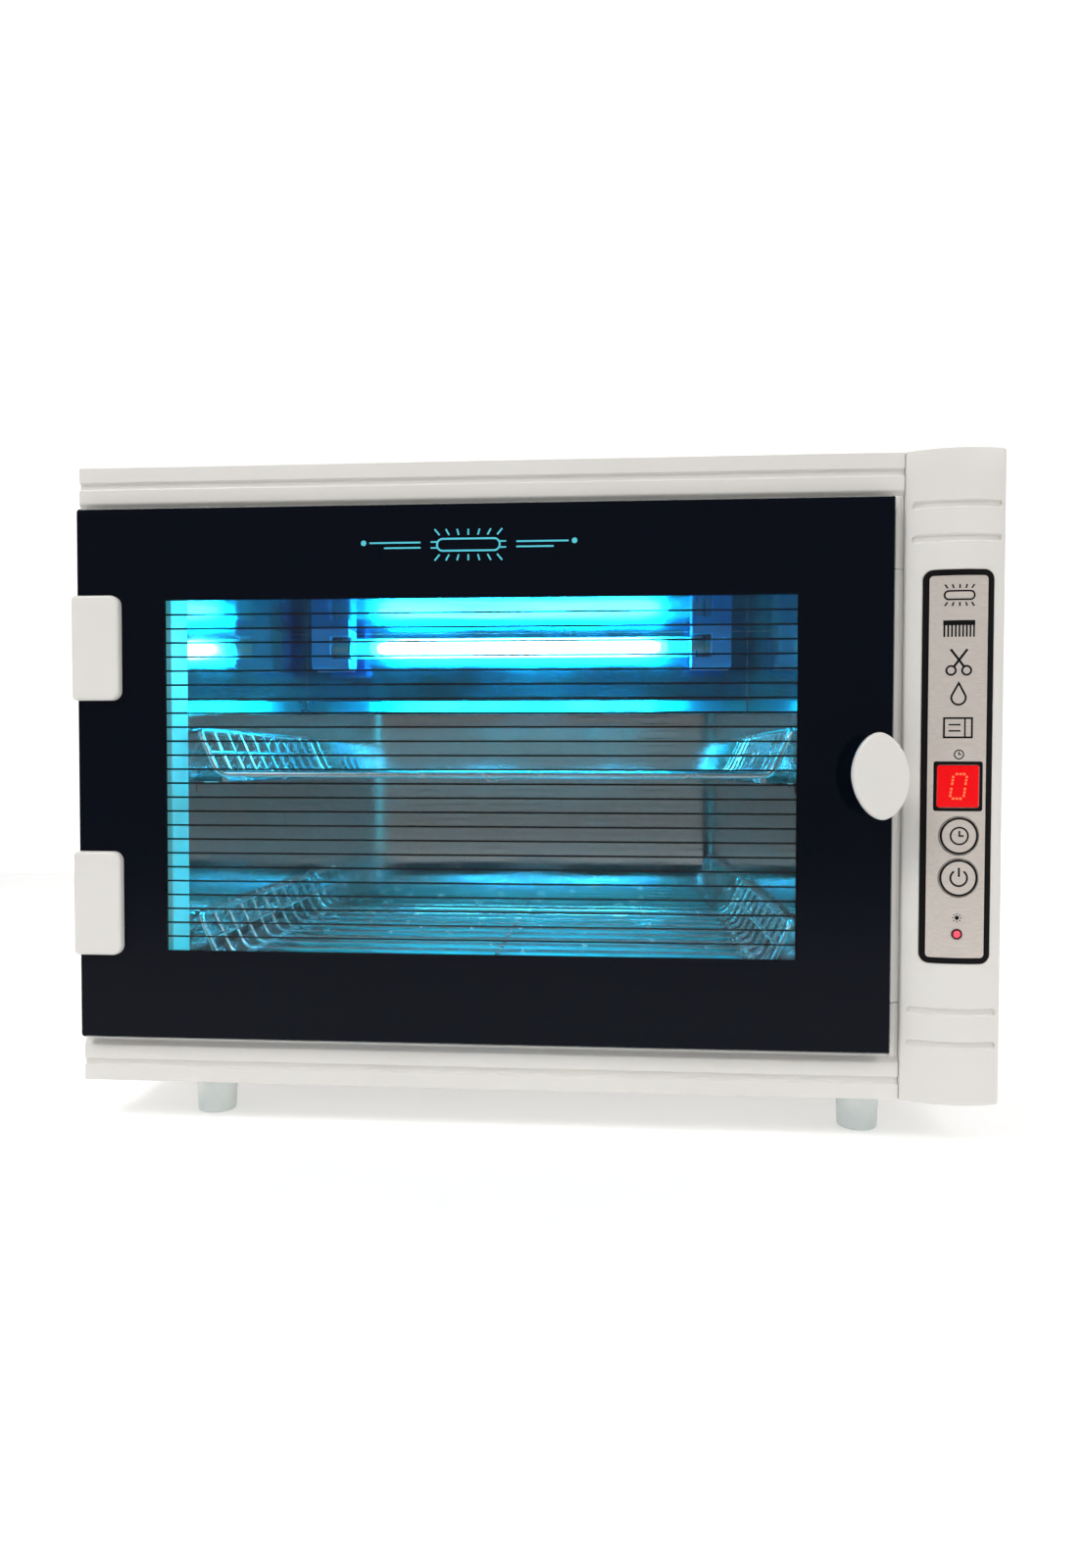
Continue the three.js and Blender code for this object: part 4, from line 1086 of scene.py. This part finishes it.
def build_feet():
    """Tapered feet, hollow underneath, each held by a screw from below."""
    hole, cavity_depth = 2.4, 8
    for corner in ("front_left", "front_right", "rear_left", "rear_right"):
        low, high = span(f"foot_{corner}")
        place = middle(f"foot_{corner}")
        top, bottom = high.z, low.z
        cavity_top = bottom + cavity_depth
        profile = [(hole, cavity_top), (5.3, cavity_top), (5.7, bottom + 0.8), (6.4, bottom)]
        profile += [(9.6, bottom), (10.6, bottom + 0.5), (11.0, bottom + 1.6)]
        profile += [(11.85, top - 1.2), (11.6, top - 0.4), (10.9, top), (hole, top)]
        foot = Shape(turned(profile, (place.x, place.y, 0), "z", 56))
        piece(f"foot_{corner}_body", foot, "cabinet", "foot_plastic", f"foot_{corner}")
        seat = (place.x, place.y, bottom + 7.8)
        build_screw(f"foot_screw_{corner}", seat, (0, 0, -1), top - bottom - 4)


def build_screw(name, place, outward, shank, *stands_for):
    """A domed screw with a cross recess. outward is the way its head faces."""
    profile = [(1.9, -shank), (1.9, 0), (4.0, 0), (4.0, 0.5)]
    profile += [(3.7, 1.3), (2.9, 1.9), (1.6, 2.3), (0.4, 2.4)]
    turn = Vector((0, 0, 1)).rotation_difference(Vector(outward)).to_matrix()

    def stood(part):
        points, faces = part
        return [Vector(place) + turn @ Vector(p) for p in points], faces

    cross = [box(-2.2, 2.2, -0.45, 0.45, 0.9, 4), box(-0.45, 0.45, -2.2, 2.2, 0.9, 4)]
    head = Shape(stood(turned(profile, (0, 0, 0), "z", 32)))
    cutters = [Shape(stood(bar)) for bar in cross]
    return piece(name, head, "cabinet", "zinc_steel", *stands_for, cutters=cutters)


def build_rear():
    """The rear cover's screws, and three pins inside the mains inlet."""
    head_height = 2.4
    for screw in (f"rear_screw_{i}" for i in (1, 2, 3, 4)):
        low, high = span(screw)
        centre = (low + high) / 2
        seat = (centre.x, high.y - head_height, centre.z)
        build_screw(f"{screw}_head", seat, (0, 1, 0), 8, screw)
    low, high = span("mains_inlet")
    centre = (low + high) / 2
    pins = Shape()
    corners = [(-1, -1), (1, -1), (1, 1), (-1, 1)]
    blade = [(low.y + 6, 1.0, 2.0), (high.y - 6.2, 1.0, 2.0), (high.y - 5, 0.5, 1.4)]
    for dx, dz in ((-6.5, -2), (0, 3), (6.5, -2)):
        x, z = centre.x + dx, centre.z + dz
        rings = [[(x + a * half_x, y, z + b * half_z) for a, b in corners] for y, half_x, half_z in blade]
        pins.add(loft(rings))
    piece("inlet_pins", pins, "cabinet", "zinc_steel")


# ---------------------------------------------------------------- studio


def build_studio():
    """The camera, a pale paper floor with a backdrop that curves up, and three soft lights."""
    scene = bpy.context.scene
    scene.view_settings.view_transform = "Standard"

    camera = bpy.data.objects.new("camera", bpy.data.cameras.new("camera"))
    scene.collection.objects.link(camera)
    camera.data.lens = 24.75
    camera.data.shift_x = 0.0071
    camera.data.shift_y = 0.00675
    camera.location = (0.0475, -0.71835, 0.2038)
    forward, up = Vector((-0.0772, 0.9966, -0.0290)), Vector((-0.0041, 0.0288, 0.9996))
    right = forward.cross(up).normalized()
    up = right.cross(forward.normalized())
    camera.rotation_euler = Matrix((right, up, -forward.normalized())).transposed().to_euler()
    scene.camera = camera

    world = bpy.data.worlds.new("world")
    world.use_nodes = True
    background = world.node_tree.nodes["Background"].inputs
    background["Color"].default_value = (1.0, 0.985, 0.97, 1)
    background["Strength"].default_value = 0.36
    scene.world = world

    front, bend, radius, height, half_width = -4.0, 1.2, 0.8, 4.0, 12.0
    floor_lines = [(front, 0.0), (bend, 0.0)]
    wall_lines = [(bend, 0.0)] + arc(bend, radius, radius, -80, 0, 10) + [(bend + radius, height)]
    # The paper glows beside and behind the cabinet, and fades out in front of it.
    for name, lines, glow in (("floor", floor_lines, 0.3), ("backdrop", wall_lines, 0.64)):
        paper = new_material(f"{name}_paper", (0.86, 0.86, 0.86), 0.9)
        shader_of(paper).inputs["Emission Color"].default_value = (1, 1, 1, 1)
        glow_along(paper, "Object", "Y", (-0.9, -0.4), glow)
        mesh = bpy.data.meshes.new(name)
        points = [(x, y, z) for y, z in lines for x in (-half_width, half_width)]
        faces = [(i, i + 1, i + 3, i + 2) for i in range(0, len(points) - 2, 2)]
        mesh.from_pydata(points, [], faces)
        mesh.materials.append(paper)
        stage = bpy.data.objects.new(name, mesh)
        scene.collection.objects.link(stage)
        smooth(stage, 60)

    lights = (
        ("key", (-1.1, -1.3, 1.9), 1.0, 5.0),
        ("fill", (1.5, -1.1, 1.6), 1.0, 3.0),
        ("top", (0.0, 0.1, 2.2), 1.6, 1.3),
    )
    aim = Vector((0, 0, 0.18))
    for name, place, size, power in lights:
        light = bpy.data.objects.new(name, bpy.data.lights.new(name, "AREA"))
        light.data.size = size
        light.data.energy = power
        light.data.spread = math.radians(80)
        light.location = place
        light.rotation_euler = (aim - Vector(place)).to_track_quat("-Z", "Y").to_euler()
        scene.collection.objects.link(light)


build_studio()
dress_cad_nodes()
build_door_print()
build_door_motif()
build_hinge_caps()
build_knob()
build_column()
build_film()
build_display()
build_keys()
build_led()
build_baskets()
build_lamp()
build_reflector()
build_feet()
build_rear()
